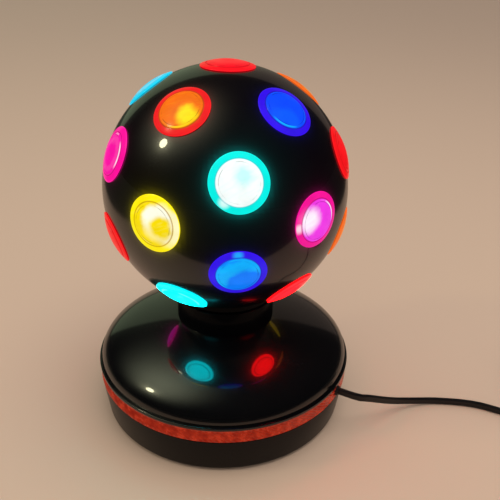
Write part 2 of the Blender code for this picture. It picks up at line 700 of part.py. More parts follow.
def cover_screws():
    for i in range(COVER_SCREW_COUNT):
        angle = COVER_SCREW_FIRST_ANGLE + FULL_TURN * i / COVER_SCREW_COUNT
        seat = HOUSING_BOTTOM + COUNTERBORE_DEPTH - FIT_GAP
        machine_screw(f"cover_screw_{i + 1}", SCREW_HEAD_RADIUS, SCREW_HEAD_HEIGHT, SCREW_RADIUS,
                      COVER_SCREW_LENGTH, radial_point(COVER_SCREW_CIRCLE, angle, seat), True)


def lamp_stem():
    """Hollow post: flange on the housing pad, collar for the turntable's washer."""
    flange_bottom = PAD_TOP + FIT_GAP
    flange_top = flange_bottom + STEM_FLANGE_THICKNESS
    outline = [
        (STEM_RADIUS, STEM_TOP),
        (STEM_RADIUS, COLLAR_TOP),
        (STEM_COLLAR_RADIUS, COLLAR_TOP),
        (STEM_COLLAR_RADIUS, COLLAR_TOP - STEM_COLLAR_DEPTH / 2),
        (STEM_RADIUS, COLLAR_TOP - STEM_COLLAR_DEPTH),
        (STEM_RADIUS, flange_top),
        (STEM_FLANGE_RADIUS, flange_top),
        (STEM_FLANGE_RADIUS, flange_bottom),
        (STEM_BORE_RADIUS, flange_bottom),
        (STEM_BORE_RADIUS, STEM_TOP),
    ]
    stem = turned("lamp_stem", outline, STEM_SEGMENTS, BLACK_SATIN)
    holes = tool_group("stem_holes")
    for side in (-1, 1):
        tool_cylinder(holes, f"stem_flange_hole_{side}", SCREW_HOLE_RADIUS, flange_bottom - CUT_OVERRUN,
                      flange_top + CUT_OVERRUN, SCREW_SEGMENTS, (side * STEM_SCREW_OFFSET, 0.0))
    slot = tool_cylinder(holes, "stem_lead_slot", STEM_SLOT_RADIUS, 0.0, STEM_RADIUS + CUT_OVERRUN, SCREW_SEGMENTS)
    aim_up(slot, radial_point(1.0, CORD_AZIMUTH))
    slot.location = (0.0, 0.0, STEM_SLOT_HEIGHT)
    combine(stem, "DIFFERENCE", holes)
    for number, side in ((1, -1), (2, 1)):
        machine_screw(f"stem_screw_{number}", STEM_SCREW_HEAD_RADIUS, SCREW_HEAD_HEIGHT, SCREW_RADIUS,
                      STEM_FLANGE_THICKNESS + STEM_SCREW_DEPTH,
                      (side * STEM_SCREW_OFFSET, 0.0, flange_top + FIT_GAP), False)


def thrust_washer():
    top = COLLAR_TOP + FIT_GAP + WASHER_THICKNESS
    outline = [
        (WASHER_RADIUS, top),
        (WASHER_RADIUS, top - WASHER_THICKNESS),
        (STEM_RADIUS + FIT_GAP, top - WASHER_THICKNESS),
        (STEM_RADIUS + FIT_GAP, top),
    ]
    turned("thrust_washer", outline, STEM_SEGMENTS, NYLON)


def motor():
    """Flat round geared motor with an offset shaft, its ear plate and two screws."""
    bottom = MOTOR_TOP - MOTOR_HEIGHT
    outline = [
        (0.0, MOTOR_TOP),
        (MOTOR_RADIUS - MOTOR_EDGE_ROUND, MOTOR_TOP),
        (MOTOR_RADIUS, MOTOR_TOP - MOTOR_EDGE_ROUND),
        (MOTOR_RADIUS, bottom + MOTOR_EDGE_ROUND),
        (MOTOR_RADIUS - MOTOR_EDGE_ROUND, bottom),
        (0.0, bottom),
    ]
    can = turned("motor_can", outline, MOTOR_SEGMENTS, STEEL, closed=False)
    can.location = (0.0, MOTOR_CENTRE_Y, 0.0)
    holes = tool_group("motor_holes")
    tool_cylinder(holes, "motor_shaft_bore", SHAFT_RADIUS + FIT_GAP, MOTOR_TOP - SHAFT_ENGAGEMENT - FIT_GAP,
                  MOTOR_TOP + CUT_OVERRUN, BOSS_SEGMENTS, (0.0, CENTRE_DISTANCE))
    combine(can, "DIFFERENCE", holes)
    ear_steps = 8
    right = [
        (MOTOR_EAR_OFFSET + MOTOR_EAR_RADIUS * math.cos(a), MOTOR_EAR_RADIUS * math.sin(a))
        for a in (math.pi * (i / ear_steps - 0.5) for i in range(ear_steps + 1))
    ]
    left = [(-x, -y) for x, y in right]
    ear_holes = [circle_outline(MOTOR_SCREW_HOLE_RADIUS, SCREW_SEGMENTS, (side * MOTOR_EAR_OFFSET, 0.0))
                 for side in (-1, 1)]
    flat_shape("motor_plate", [right + left, *ear_holes], MOTOR_TOP + FIT_GAP, MOTOR_PLATE_THICKNESS, STEEL,
               centre=(0.0, MOTOR_CENTRE_Y))
    for number, side in ((1, -1), (2, 1)):
        machine_screw(f"motor_screw_{number}", MOTOR_SCREW_HEAD_RADIUS, MOTOR_SCREW_HEAD_HEIGHT,
                      MOTOR_SCREW_RADIUS, MOTOR_SCREW_LENGTH,
                      (side * MOTOR_EAR_OFFSET, MOTOR_CENTRE_Y, MOTOR_TOP), True)


def drive_pinion():
    """Pinion and motor shaft in one piece, its axis on the empty it hangs from."""
    axis = add_axis("pinion_axis", (0.0, CENTRE_DISTANCE, 0.0))
    shaft_bottom = MOTOR_TOP - SHAFT_ENGAGEMENT
    teeth_bottom = HUB_BOTTOM - PINION_OVERHANG
    teeth_height = GEAR_FACE_WIDTH + 2 * PINION_OVERHANG
    outline = [
        (0.0, teeth_bottom + teeth_height + PINION_OVERHANG),
        (SHAFT_RADIUS, teeth_bottom + teeth_height + PINION_OVERHANG),
        (SHAFT_RADIUS, shaft_bottom),
        (0.0, shaft_bottom),
    ]
    pinion = turned("drive_pinion", outline, BOSS_SEGMENTS, NYLON, closed=False)
    pinion.parent = axis
    teeth = tool_group("pinion_teeth")
    flat_shape("pinion_toothing", [gear_outline(PINION_TEETH, -math.pi / 2)], teeth_bottom, teeth_height, NYLON, teeth,
               (0.0, CENTRE_DISTANCE))
    combine(pinion, "UNION", teeth)


def turntable(axis):
    """Saucer that carries the ball, lock spigot, and hub with the driven gear."""
    seat_radii = [SPIGOT_RADIUS + (TURNTABLE_RADIUS - SPIGOT_RADIUS) * i / SEAT_ARC_STEPS
                  for i in range(SEAT_ARC_STEPS + 1)]
    seat = [(r, -sphere_height(BALL_RADIUS, r) - FIT_GAP) for r in seat_radii]
    lug_corner = math.hypot(SPIGOT_RADIUS + SPIGOT_LUG_REACH, SPIGOT_LUG_WIDTH / 2)
    inside = -sphere_height(BALL_INNER_RADIUS, lug_corner)
    lug_bottom = inside + LOCK_CLEARANCE
    spigot_top = lug_bottom + SPIGOT_LUG_HEIGHT
    underside = TURNTABLE_UNDERSIDE - BALL_CENTRE_HEIGHT
    hub_bottom = HUB_BOTTOM - BALL_CENTRE_HEIGHT
    outline = [
        (SPIGOT_RADIUS, spigot_top),
        *seat,
        (TURNTABLE_RADIUS, seat[-1][1] - TURNTABLE_RIM_DROP),
        (TURNTABLE_RADIUS - TURNTABLE_WEB, underside),
        (HUB_RADIUS, underside),
        (HUB_RADIUS, hub_bottom),
        (HUB_BORE_RADIUS, hub_bottom),
        (HUB_BORE_RADIUS, underside + TURNTABLE_WEB),
        (SPIGOT_RADIUS - SPIGOT_WALL, underside + TURNTABLE_WEB),
        (SPIGOT_RADIUS - SPIGOT_WALL, spigot_top),
    ]
    table = turned("turntable", outline, BALL_SEGMENTS, BLACK_GLOSS)
    table.parent = axis
    additions = tool_group("turntable_additions")
    hub_middle = circle_outline((HUB_RADIUS + HUB_BORE_RADIUS) / 2, STEM_SEGMENTS)
    teeth = gear_outline(HUB_GEAR_TEETH, math.pi / 2 + math.pi / HUB_GEAR_TEETH)
    flat_shape("hub_gear", [teeth, hub_middle], HUB_BOTTOM, GEAR_FACE_WIDTH, NYLON, additions)
    for i in range(LOCK_NOTCH_COUNT):
        lug = box(f"lock_lug_{i + 1}", (SPIGOT_LUG_REACH + SPIGOT_WALL / 2, SPIGOT_LUG_WIDTH, SPIGOT_LUG_HEIGHT),
                  NYLON, additions)
        angle = FULL_TURN * i / LOCK_NOTCH_COUNT
        middle = SPIGOT_RADIUS + (SPIGOT_LUG_REACH - SPIGOT_WALL / 2) / 2
        lug.location = radial_point(middle, angle, BALL_CENTRE_HEIGHT + lug_bottom + SPIGOT_LUG_HEIGHT / 2)
        lug.rotation_euler = (0.0, 0.0, angle)
    combine(table, "UNION", additions)


def ball_shell(axis):
    """One-piece ball with an opening below, lens holes and twist-lock notches."""
    outer_end = math.pi - math.asin(BALL_OPENING_RADIUS / BALL_RADIUS)
    inner_end = math.pi - math.asin(BALL_OPENING_RADIUS / BALL_INNER_RADIUS)
    outer = [outer_end * i / BALL_ARC_STEPS for i in range(BALL_ARC_STEPS + 1)]
    inner = [inner_end * (1 - i / BALL_ARC_STEPS) for i in range(BALL_ARC_STEPS + 1)]
    outline = [(BALL_RADIUS * math.sin(a), BALL_RADIUS * math.cos(a)) for a in outer]
    outline += [(BALL_INNER_RADIUS * math.sin(a), BALL_INNER_RADIUS * math.cos(a)) for a in inner]
    outline[0] = (0.0, BALL_RADIUS)
    outline[-1] = (0.0, BALL_INNER_RADIUS)
    shell = turned("ball_shell", outline, BALL_SEGMENTS, BLACK_GLOSS, closed=False)
    shell.parent = axis
    holes = tool_group("ball_holes")
    for number, (direction, _) in enumerate(lens_directions(), 1):
        hole = tool_cylinder(holes, f"lens_hole_{number}", LENS_SPIGOT_RADIUS + FIT_GAP,
                             sphere_height(BALL_INNER_RADIUS, LENS_RADIUS) - CUT_OVERRUN,
                             BALL_RADIUS + CUT_OVERRUN, LENS_SEGMENTS)
        hole.location = (0.0, 0.0, BALL_CENTRE_HEIGHT)
        aim_up(hole, direction)
    notch_height = BALL_CENTRE_HEIGHT - sphere_height(BALL_INNER_RADIUS, BALL_OPENING_RADIUS)
    for i in range(LOCK_NOTCH_COUNT):
        angle = FULL_TURN * (i + 0.5) / LOCK_NOTCH_COUNT
        depth = LOCK_NOTCH_REACH + CUT_OVERRUN
        notch = box(f"lock_notch_{i + 1}", (depth, LOCK_NOTCH_WIDTH, 4 * BALL_WALL), BLACK_GLOSS, holes)
        notch.location = radial_point(BALL_OPENING_RADIUS + LOCK_NOTCH_REACH - depth / 2, angle, notch_height)
        notch.rotation_euler = (0.0, 0.0, angle)
    combine(shell, "DIFFERENCE", holes)


def lens_face(radius):
    """Height of the domed lens face above the ball's centre."""
    return BALL_RADIUS + LENS_CROWN_RISE - LENS_FACE_CURVE + sphere_height(LENS_FACE_CURVE, radius)


def lenses(axis):
    """Round domed lenses: crowned disc, rim ring with a thin edge, and a spigot through the ball."""
    rim_under = sphere_height(BALL_RADIUS, LENS_RADIUS) + FIT_GAP
    spigot_under = sphere_height(BALL_RADIUS, LENS_SPIGOT_RADIUS) + FIT_GAP
    inner_end = sphere_height(BALL_INNER_RADIUS, LENS_SPIGOT_RADIUS) - LENS_SPIGOT_REACH
    outline = [
        (0.0, lens_face(0.0)),
        (LENS_DISC_RADIUS / 2, lens_face(LENS_DISC_RADIUS / 2)),
        (LENS_DISC_RADIUS, lens_face(LENS_DISC_RADIUS) - LENS_GROOVE_DEPTH),
        (LENS_RADIUS - LENS_EDGE_ROUND, lens_face(LENS_RADIUS - LENS_EDGE_ROUND)),
        (LENS_RADIUS, rim_under),
        (LENS_SPIGOT_RADIUS, spigot_under),
        (LENS_SPIGOT_RADIUS, inner_end),
        (0.0, inner_end),
    ]
    shape = polyline_mesh("lens", outline, False)
    shape.materials.append(None)
    for number, (direction, colour) in enumerate(lens_directions(), 1):
        lens = bpy.data.objects.new(f"lens_{number:02d}", shape)
        PARTS.objects.link(lens)
        lens.parent = axis
        lens.material_slots[0].link = "OBJECT"
        lens.material_slots[0].material = LENS_MATERIALS[colour]
        add_screw(lens, LENS_SEGMENTS)
        aim_up(lens, direction)


def lamp():
    """Lamp holder on the stem, and a small clear bulb with its cap."""
    holder_floor_top = STEM_TOP + FIT_GAP + HOLDER_FLOOR
    holder = [
        (HOLDER_RADIUS, HOLDER_TOP),
        (HOLDER_RADIUS, HOLDER_BOTTOM),
        (STEM_RADIUS + FIT_GAP, HOLDER_BOTTOM),
        (STEM_RADIUS + FIT_GAP, STEM_TOP + FIT_GAP),
        (HOLDER_LEAD_HOLE_RADIUS, STEM_TOP + FIT_GAP),
        (HOLDER_LEAD_HOLE_RADIUS, holder_floor_top),
        (HOLDER_CUP_RADIUS, holder_floor_top),
        (HOLDER_CUP_RADIUS, HOLDER_TOP),
    ]
    turned("lamp_holder", holder, STEM_SEGMENTS, PORCELAIN)
    cap_top = BULB_CAP_BOTTOM + BULB_CAP_LENGTH
    cap = [
        (0.0, cap_top),
        (BULB_CAP_RADIUS, cap_top),
        (BULB_CAP_RADIUS, BULB_CAP_BOTTOM),
        (BULB_TIP_RADIUS, holder_floor_top + FIT_GAP),
        (0.0, holder_floor_top + FIT_GAP),
    ]
    turned("bulb_cap", cap, BULB_SEGMENTS, BRASS, closed=False)
    glass_bottom = cap_top + FIT_GAP
    centre = (0.0, glass_bottom + BULB_LENGTH - BULB_RADIUS)
    end = -math.pi / 4
    outer = arc(centre, BULB_RADIUS, math.pi / 2, end, BULB_ARC_STEPS)
    inner = arc(centre, BULB_RADIUS - BULB_GLASS_WALL, end, math.pi / 2, BULB_ARC_STEPS)
    outer[0] = (0.0, outer[0][1])
    inner[-1] = (0.0, inner[-1][1])
    neck_inner = BULB_NECK_RADIUS - BULB_GLASS_WALL
    glass = [
        *outer,
        (BULB_NECK_RADIUS, glass_bottom + BULB_NECK_RADIUS),
        (BULB_NECK_RADIUS, glass_bottom),
        (neck_inner, glass_bottom),
        (neck_inner, glass_bottom + BULB_NECK_RADIUS),
        *inner,
    ]
    turned("bulb_glass", glass, BULB_SEGMENTS, GLASS, closed=False)


def strain_relief():
    """Tapered bushing through the wall: nose outside, flange and tail inside."""
    wall_out = BAND_OUTER_RADIUS
    wall_in = HOUSING_INNER_RADIUS + RELIEF_SEAT_DEPTH
    flange_in = wall_in - FIT_GAP - RELIEF_FLANGE_THICKNESS
    outline = [
        (0.0, wall_out + RELIEF_NOSE_LENGTH),
        (RELIEF_NOSE_RADIUS, wall_out + RELIEF_NOSE_LENGTH),
        (RELIEF_HOLE_RADIUS - FIT_GAP, wall_out),
        (RELIEF_HOLE_RADIUS - FIT_GAP, wall_in - FIT_GAP),
        (RELIEF_FLANGE_RADIUS, wall_in - FIT_GAP),
        (RELIEF_FLANGE_RADIUS, flange_in),
        (RELIEF_TAIL_RADIUS, flange_in - RELIEF_TAIL_LENGTH),
        (0.0, flange_in - RELIEF_TAIL_LENGTH),
    ]
    relief = turned("strain_relief", outline, RELIEF_SEGMENTS, RUBBER, closed=False)
    aim_up(relief, radial_point(1.0, CORD_AZIMUTH))
    relief.location = (0.0, 0.0, CORD_EXIT_HEIGHT)
    return flange_in - RELIEF_TAIL_LENGTH - FIT_GAP


def wiring(relief_end):
    """Terminal block on the floor, with the leads from the cord, the lamp and the motor."""
    block = box("terminal_block", (TERMINAL_WIDTH, TERMINAL_LENGTH, TERMINAL_HEIGHT), PORCELAIN,
                edge_round=TERMINAL_EDGE_ROUND)
    block.rotation_euler = (0.0, 0.0, CORD_AZIMUTH)
    block_bottom = FLOOR_TOP + FIT_GAP
    block_top = block_bottom + TERMINAL_HEIGHT
    block.location = radial_point(TERMINAL_DISTANCE, CORD_AZIMUTH, block_bottom + TERMINAL_HEIGHT / 2)
    lead_height = block_bottom + TERMINAL_HEIGHT / 2
    outward = radial_point(1.0, CORD_AZIMUTH)
    sideways = radial_point(1.0, CORD_AZIMUTH + math.pi / 2)
    upward = Vector((0.0, 0.0, 1.0))

    supply_lead = [
        outward * relief_end + upward * CORD_EXIT_HEIGHT,
        outward * (relief_end - LEAD_END_STRAIGHT) + upward * CORD_EXIT_HEIGHT,
        outward * TERMINAL_DISTANCE + upward * (block_top + FIT_GAP + LEAD_END_STRAIGHT),
        outward * TERMINAL_DISTANCE + upward * (block_top + FIT_GAP),
    ]
    inner_face = TERMINAL_DISTANCE - TERMINAL_WIDTH / 2 - FIT_GAP
    lamp_lead = [
        outward * inner_face + upward * lead_height,
        outward * (inner_face - LEAD_END_STRAIGHT) + upward * lead_height,
        outward * 2 * STEM_RADIUS + upward * STEM_SLOT_HEIGHT,
        outward * STEM_RADIUS + upward * STEM_SLOT_HEIGHT,
        outward * STEM_BORE_RADIUS / 2 + upward * (STEM_SLOT_HEIGHT + STEM_BORE_RADIUS / 4),
        upward * (STEM_SLOT_HEIGHT + STEM_RADIUS),
        upward * (STEM_TOP - LEAD_END_STRAIGHT),
        upward * STEM_TOP,
    ]
    block_end = outward * TERMINAL_DISTANCE + sideways * (TERMINAL_LENGTH / 2 + FIT_GAP)
    under_motor = Vector((0.0, MOTOR_CENTRE_Y, MOTOR_TOP - MOTOR_HEIGHT - FIT_GAP))
    motor_lead = [
        block_end + upward * lead_height,
        block_end + sideways * LEAD_END_STRAIGHT + upward * lead_height,
        Vector((TERMINAL_DISTANCE - TERMINAL_LENGTH, 0.0, lead_height)),
        Vector((MOTOR_RADIUS, MOTOR_CENTRE_Y / 2, STEM_SLOT_HEIGHT)),
        under_motor + Vector((LEAD_END_STRAIGHT, -LEAD_END_STRAIGHT, -2 * LEAD_END_STRAIGHT)),
        under_motor - upward * LEAD_END_STRAIGHT,
        under_motor,
    ]
    for name, route in (("supply_lead", supply_lead), ("lamp_lead", lamp_lead), ("motor_lead", motor_lead)):
        tube(name, round_curve(route, LEAD_POINT_STEP), LEAD_RADIUS, LEAD_SIDES, VINYL)


def coil_point(turns):
    """Point on the coil's spiral: in along the lower layer, up, and out along the upper."""
    angle = COIL_START_ANGLE + FULL_TURN * turns
    radius = COIL_INNER_RADIUS + COIL_PITCH * abs(turns - COIL_MIDDLE_TURNS)
    climb = min(1.0, max(0.0, (turns - COIL_TURNS_PER_LAYER) / COIL_CLIMB_TURNS))
    height = COIL_BOTTOM_HEIGHT + COIL_PITCH * (1 - math.cos(math.pi * climb)) / 2
    return Vector((COIL_CENTRE.x + radius * math.cos(angle), COIL_CENTRE.y + radius * math.sin(angle), height))


def coil_path():
    """The coil's points, with a straight lead-in and a straight tail."""
    turns = 2 * COIL_MIDDLE_TURNS
    count = round(turns * COIL_POINTS_PER_TURN)
    spiral = [coil_point(turns * i / count) for i in range(count + 1)]
    heading_in = Vector((-math.sin(COIL_START_ANGLE), math.cos(COIL_START_ANGLE), 0.0))
    end_angle = COIL_START_ANGLE + FULL_TURN * turns
    heading_out = Vector((-math.sin(end_angle), math.cos(end_angle), 0.0))
    path = [spiral[0] - heading_in * CORD_DIAMETER, *spiral, spiral[-1] + heading_out * COIL_TAIL_LENGTH]
    return path, heading_in, heading_out


def least_gap(path):
    """Least clear distance of a coiled tube to itself, measured on points along it."""
    points = []
    for near, far in zip(path, path[1:]):
        points.extend(near.lerp(far, i / COIL_GAP_SAMPLES) for i in range(COIL_GAP_SAMPLES))
    places = np.array(points)
    apart = np.linalg.norm(places[:, None] - places[None, :], axis=2)
    count = len(points)
    beyond = COIL_POINTS_PER_TURN * COIL_GAP_SAMPLES // 2
    steps_apart = np.abs(np.arange(count)[:, None] - np.arange(count)[None, :])
    return apart[steps_apart > beyond].min() - CORD_DIAMETER


def cord():
    """The cord from the strain relief over the table to its coil, and the coil."""
    path, heading_in, _ = coil_path()
    exit_distance = BAND_OUTER_RADIUS + RELIEF_NOSE_LENGTH + FIT_GAP
    exit_point = radial_point(exit_distance, CORD_AZIMUTH, CORD_EXIT_HEIGHT)
    leaving = radial_point(exit_distance + CORD_DIAMETER, CORD_AZIMUTH, CORD_EXIT_HEIGHT)
    lead_in = path[0] - heading_in * CORD_DIAMETER
    meeting = path[0] - heading_in * FIT_GAP
    free = round_curve([exit_point, leaving, *CORD_ROUTE, lead_in, meeting], CORD_POINT_STEP)
    tube("cord", free, CORD_RADIUS, CORD_SIDES, VINYL)
    tube("cord_coil", path, CORD_RADIUS, COIL_SIDES, VINYL)
    gap = least_gap(path)
    print(f"coil least gap to itself {gap / MM:.2f} mm, limit {COIL_GAP_LIMIT / MM:.2f} mm")
    print(f"cord length {(path_length(free) + path_length(path)) / MM:.0f} mm of {CORD_LENGTH / MM:.0f} mm")
    return path[-1]


def plug(cord_end):
    """Moulded two-blade plug lying on the table at the end of the cord."""
    nose_start = cord_end.x + FIT_GAP
    body_start = nose_start + PLUG_NOSE_LENGTH
    body = box("plug_body", (PLUG_LENGTH, PLUG_WIDTH, PLUG_HEIGHT), BLACK_SATIN,
               edge_round=PLUG_EDGE_ROUND, edge_steps=2)
    body.location = (body_start + PLUG_LENGTH / 2, cord_end.y, PLUG_HEIGHT / 2)
    nose_group = tool_group("plug_nose")
    outline = [
        (0.0, CUT_OVERRUN),
        (PLUG_NOSE_RADIUS, CUT_OVERRUN),
        (PLUG_NOSE_RADIUS, 0.0),
        (PLUG_NOSE_END_RADIUS, -PLUG_NOSE_LENGTH),
        (0.0, -PLUG_NOSE_LENGTH),
    ]
    nose = turned("plug_nose", outline, RELIEF_SEGMENTS, BLACK_SATIN, closed=False, collection=nose_group)
    nose.rotation_euler = (0.0, math.pi / 2, 0.0)
    nose.location = (body_start, cord_end.y, cord_end.z)
    hide_tool(nose)
    combine(body, "UNION", nose_group)
    for number, side in ((1, -1), (2, 1)):
        blade = box(f"plug_blade_{number}", (BLADE_LENGTH, BLADE_THICKNESS, BLADE_WIDTH), BRASS)
        start = body_start + PLUG_LENGTH + FIT_GAP
        blade.location = (start + BLADE_LENGTH / 2, cord_end.y + side * BLADE_SPACING / 2, cord_end.z)


def add_axis(name, place):
    axis = bpy.data.objects.new(name, None)
    axis.location = place
    PARTS.objects.link(axis)
    return axis


base_housing()
base_band()
top_cover()
feet()
cover_screws()
lamp_stem()
thrust_washer()
motor()
drive_pinion()
ball_axis = add_axis("ball_axis", (0.0, 0.0, BALL_CENTRE_HEIGHT))
turntable(ball_axis)
ball_shell(ball_axis)
lenses(ball_axis)
lamp()
wiring(strain_relief())
plug(cord())
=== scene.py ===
"""Looks of the rotating disco ball lamp, section by section as it is put together."""

import math
import random

import bmesh
import bpy
from mathutils import Matrix, Vector


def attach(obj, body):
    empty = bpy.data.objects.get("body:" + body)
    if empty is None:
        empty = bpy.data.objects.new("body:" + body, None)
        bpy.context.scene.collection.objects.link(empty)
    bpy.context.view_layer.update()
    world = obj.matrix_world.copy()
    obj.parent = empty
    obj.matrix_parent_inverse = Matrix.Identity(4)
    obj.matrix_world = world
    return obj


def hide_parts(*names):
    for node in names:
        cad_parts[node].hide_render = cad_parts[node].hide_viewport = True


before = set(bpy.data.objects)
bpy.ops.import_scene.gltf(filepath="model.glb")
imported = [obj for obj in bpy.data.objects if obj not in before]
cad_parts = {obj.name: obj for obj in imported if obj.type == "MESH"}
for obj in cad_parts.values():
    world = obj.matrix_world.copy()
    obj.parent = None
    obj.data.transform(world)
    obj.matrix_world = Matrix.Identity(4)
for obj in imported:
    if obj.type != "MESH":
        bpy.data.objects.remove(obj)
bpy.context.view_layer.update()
bpy.context.scene.view_settings.view_transform = "Standard"

MM = 0.001
FULL_TURN = 2 * math.pi


# Camera
# A short lens close to the lamp, looking down at it from the front and a little to the
# right of where it stands, with the camera rolled slightly.
def new_object(name, data):
    """A new object, linked to the scene."""
    made = bpy.data.objects.new(name, data)
    bpy.context.scene.collection.objects.link(made)
    return made


camera_data = bpy.data.cameras.new("camera")
camera_data.lens = 45.08
camera_data.sensor_width = 36.0
camera_data.shift_x = -0.0432
camera_data.shift_y = 0.0287
camera_data.clip_start = 0.01
camera = new_object("camera", camera_data)
CAMERA_PLACE = Vector((0.0, -0.36652, 0.30046))
CAMERA_SWING = math.radians(4.727)
CAMERA_DIP = math.radians(28.28)
CAMERA_ROLL = math.radians(2.783)
camera.matrix_world = (
    Matrix.Translation(CAMERA_PLACE)
    @ Matrix.Rotation(-CAMERA_SWING, 4, "Z")
    @ Matrix.Rotation(math.pi / 2 - CAMERA_DIP, 4, "X")
    @ Matrix.Rotation(CAMERA_ROLL, 4, "Z")
)
bpy.context.scene.camera = camera


# Mains cord
# Black flat twin cord with two round lobes side by side. It comes out of the strain relief,
# falls to the table and ends in a round coil of two layers. One moulding of soft vinyl.
def operator(operation):
    """An operator of Value and its reflected form, by the name of the maths that it adds."""
    return (lambda self, other: self.sum_of(operation, self, other),
            lambda self, other: self.sum_of(operation, other, self))


class Value:
    """A socket of a node tree that takes part in sums written as Python expressions."""
    __add__, __radd__ = operator("ADD")
    __sub__, __rsub__ = operator("SUBTRACT")
    __mul__, __rmul__ = operator("MULTIPLY")
    __truediv__, __rtruediv__ = operator("DIVIDE")
    __pow__, __rpow__ = operator("POWER")

    def __init__(self, tree, socket=None):
        self.tree = tree
        self.socket = socket

    def node(self, kind, settings=None, sockets=None, output=0):
        made = self.tree.nodes.new(kind)
        for name, setting in (settings or {}).items():
            setattr(made, name, setting)
        for name, value in (sockets or {}).items():
            if isinstance(value, Value):
                self.tree.links.new(value.socket, made.inputs[name])
            else:
                made.inputs[name].default_value = value
        return Value(self.tree, made.outputs[output])

    def sum_of(self, operation, *terms):
        return self.node("ShaderNodeMath", {"operation": operation}, dict(enumerate(terms)))

    def __neg__(self):
        return self.sum_of("MULTIPLY", self, -1.0)

    def step(self, low, high):
        """0 below low, 1 above high, and a smooth rise between them."""
        return self.node("ShaderNodeMapRange", {"interpolation_type": "SMOOTHSTEP"},
                         {"Value": self, "From Min": low, "From Max": high})

    def mix(self, first, second, blend="MIX"):
        """The first colour where this is 0 and the second where it is 1."""
        return self.node("ShaderNodeMix", {"data_type": "RGBA", "blend_type": blend},
                         {0: self, 6: first, 7: second}, 2)

    def axes(self):
        """The three numbers of this vector."""
        split = self.node("ShaderNodeSeparateXYZ", {}, {0: self})
        return [Value(self.tree, output) for output in split.socket.node.outputs]

    def vector(self, x=0.0, y=0.0, z=0.0):
        return self.node("ShaderNodeCombineXYZ", {}, {0: x, 1: y, 2: z})

    def place(self):
        """Object coordinates, in metres."""
        return self.node("ShaderNodeTexCoord", output=3)

    def speckle(self, scale, detail=2.0, place=None):
        """Soft noise over the object, or over another place."""
        return self.node("ShaderNodeTexNoise", {}, {
            "Vector": place or self.place(), "Scale": scale, "Detail": detail})

    def bump(self, height, strength, distance):
        return self.node("ShaderNodeBump", {}, {"Strength": strength, "Distance": distance, "Height": height})


def srgb(*screen):
    """A linear colour from the three numbers of a screen colour, 0 to 255."""
    shares = [number / 255 for number in screen]
    linear = [share / 12.92 if share <= 0.04045 else ((share + 0.055) / 1.055) ** 2.4 for share in shares]
    return (*linear, 1.0)


def new_finish(name, colour, roughness, others=None):
    """A named material with plain settings, and a value from which its sums start."""
    material = bpy.data.materials.new(name)
    material.use_nodes = True
    settings = {"Base Color": colour, "Roughness": roughness, **(others or {})}
    for socket, value in settings.items():
        material.node_tree.nodes["Principled BSDF"].inputs[socket].default_value = value
    return material, Value(material.node_tree)


def feed(material, socket, value):
    """Let a worked-out value drive one socket of the material's shader."""
    material.node_tree.links.new(value.socket, material.node_tree.nodes["Principled BSDF"].inputs[socket])


def add_piece(name, mesh, material, body, nodes):
    """A finished mesh as a piece that rides on a body and stands for its CAD nodes."""
    mesh.name = name
    mesh.materials.clear()
    mesh.materials.append(material)
    piece = new_object(name, mesh)
    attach(piece, body)
    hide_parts(*nodes)
    return piece


def round_curve(points, step):
    """Even points along a smooth curve, whose first and last stretches stay straight."""
    curve_steps = 12
    fine = []
    for a, b, c, d in zip(points, points[1:], points[2:], points[3:]):
        for i in range(curve_steps):
            t = i / curve_steps
            bend = (c - a) * t + (2 * a - 5 * b + 4 * c - d) * t**2 + (3 * b - a - 3 * c + d) * t**3
            fine.append(b + 0.5 * bend)
    fine.append(points[-2])
    lengths = [0.0]
    for near, far in zip(fine, fine[1:]):
        lengths.append(lengths[-1] + (far - near).length)
    count = max(2, round(lengths[-1] / step))
    path = [points[0]]
    k = 0
    for i in range(count + 1):
        wanted = lengths[-1] * i / count
        while k < len(fine) - 2 and lengths[k + 1] < wanted:
            k += 1
        path.append(fine[k].lerp(fine[k + 1], (wanted - lengths[k]) / (lengths[k + 1] - lengths[k])))
    path.append(points[-1])
    return path


CORD_AZIMUTH = math.radians(-30)
CORD_EXIT_HEIGHT = 31.0 * MM
CORD_EXIT_RADIUS = 87.4 * MM
CORD_WIDTH = 5.2 * MM
CORD_LOBE_RADIUS = 1.42 * MM
CORD_ROUTE = [Vector(point) * MM for point in (
    (89.0, -47.6, 28.6), (96.0, -44.6, 25.4), (104.0, -40.2, 20.6), (112.0, -35.2, 15.4),
    (120.0, -30.4, 10.8), (129.0, -26.0, 7.0), (140.0, -22.8, 4.2), (152.0, -21.2, 2.8),
    (170.0, -23.0, 2.7), (183.0, -26.2, 2.7), (196.0, -32.4, 2.7), (209.0, -39.4, 2.7),
    (224.0, -45.4, 2.7), (240.0, -47.8, 2.7),
)]
CORD_STEP = 5.2 * MM
COIL_CENTRE = Vector((268.0, -5.6)) * MM
COIL_INNER_RADIUS = 19.5 * MM
COIL_PITCH = 5.7 * MM
COIL_TURNS_PER_LAYER = 3.75
COIL_CLIMB_TURNS = 0.5
COIL_MIDDLE_TURNS = COIL_TURNS_PER_LAYER + COIL_CLIMB_TURNS / 2
COIL_POINTS_PER_TURN = 48
COIL_START_ANGLE = math.radians(-90)
COIL_TAIL_LENGTH = 40.0 * MM


def radial_point(distance, angle, height=0.0):
    return Vector((distance * math.cos(angle), distance * math.sin(angle), height))


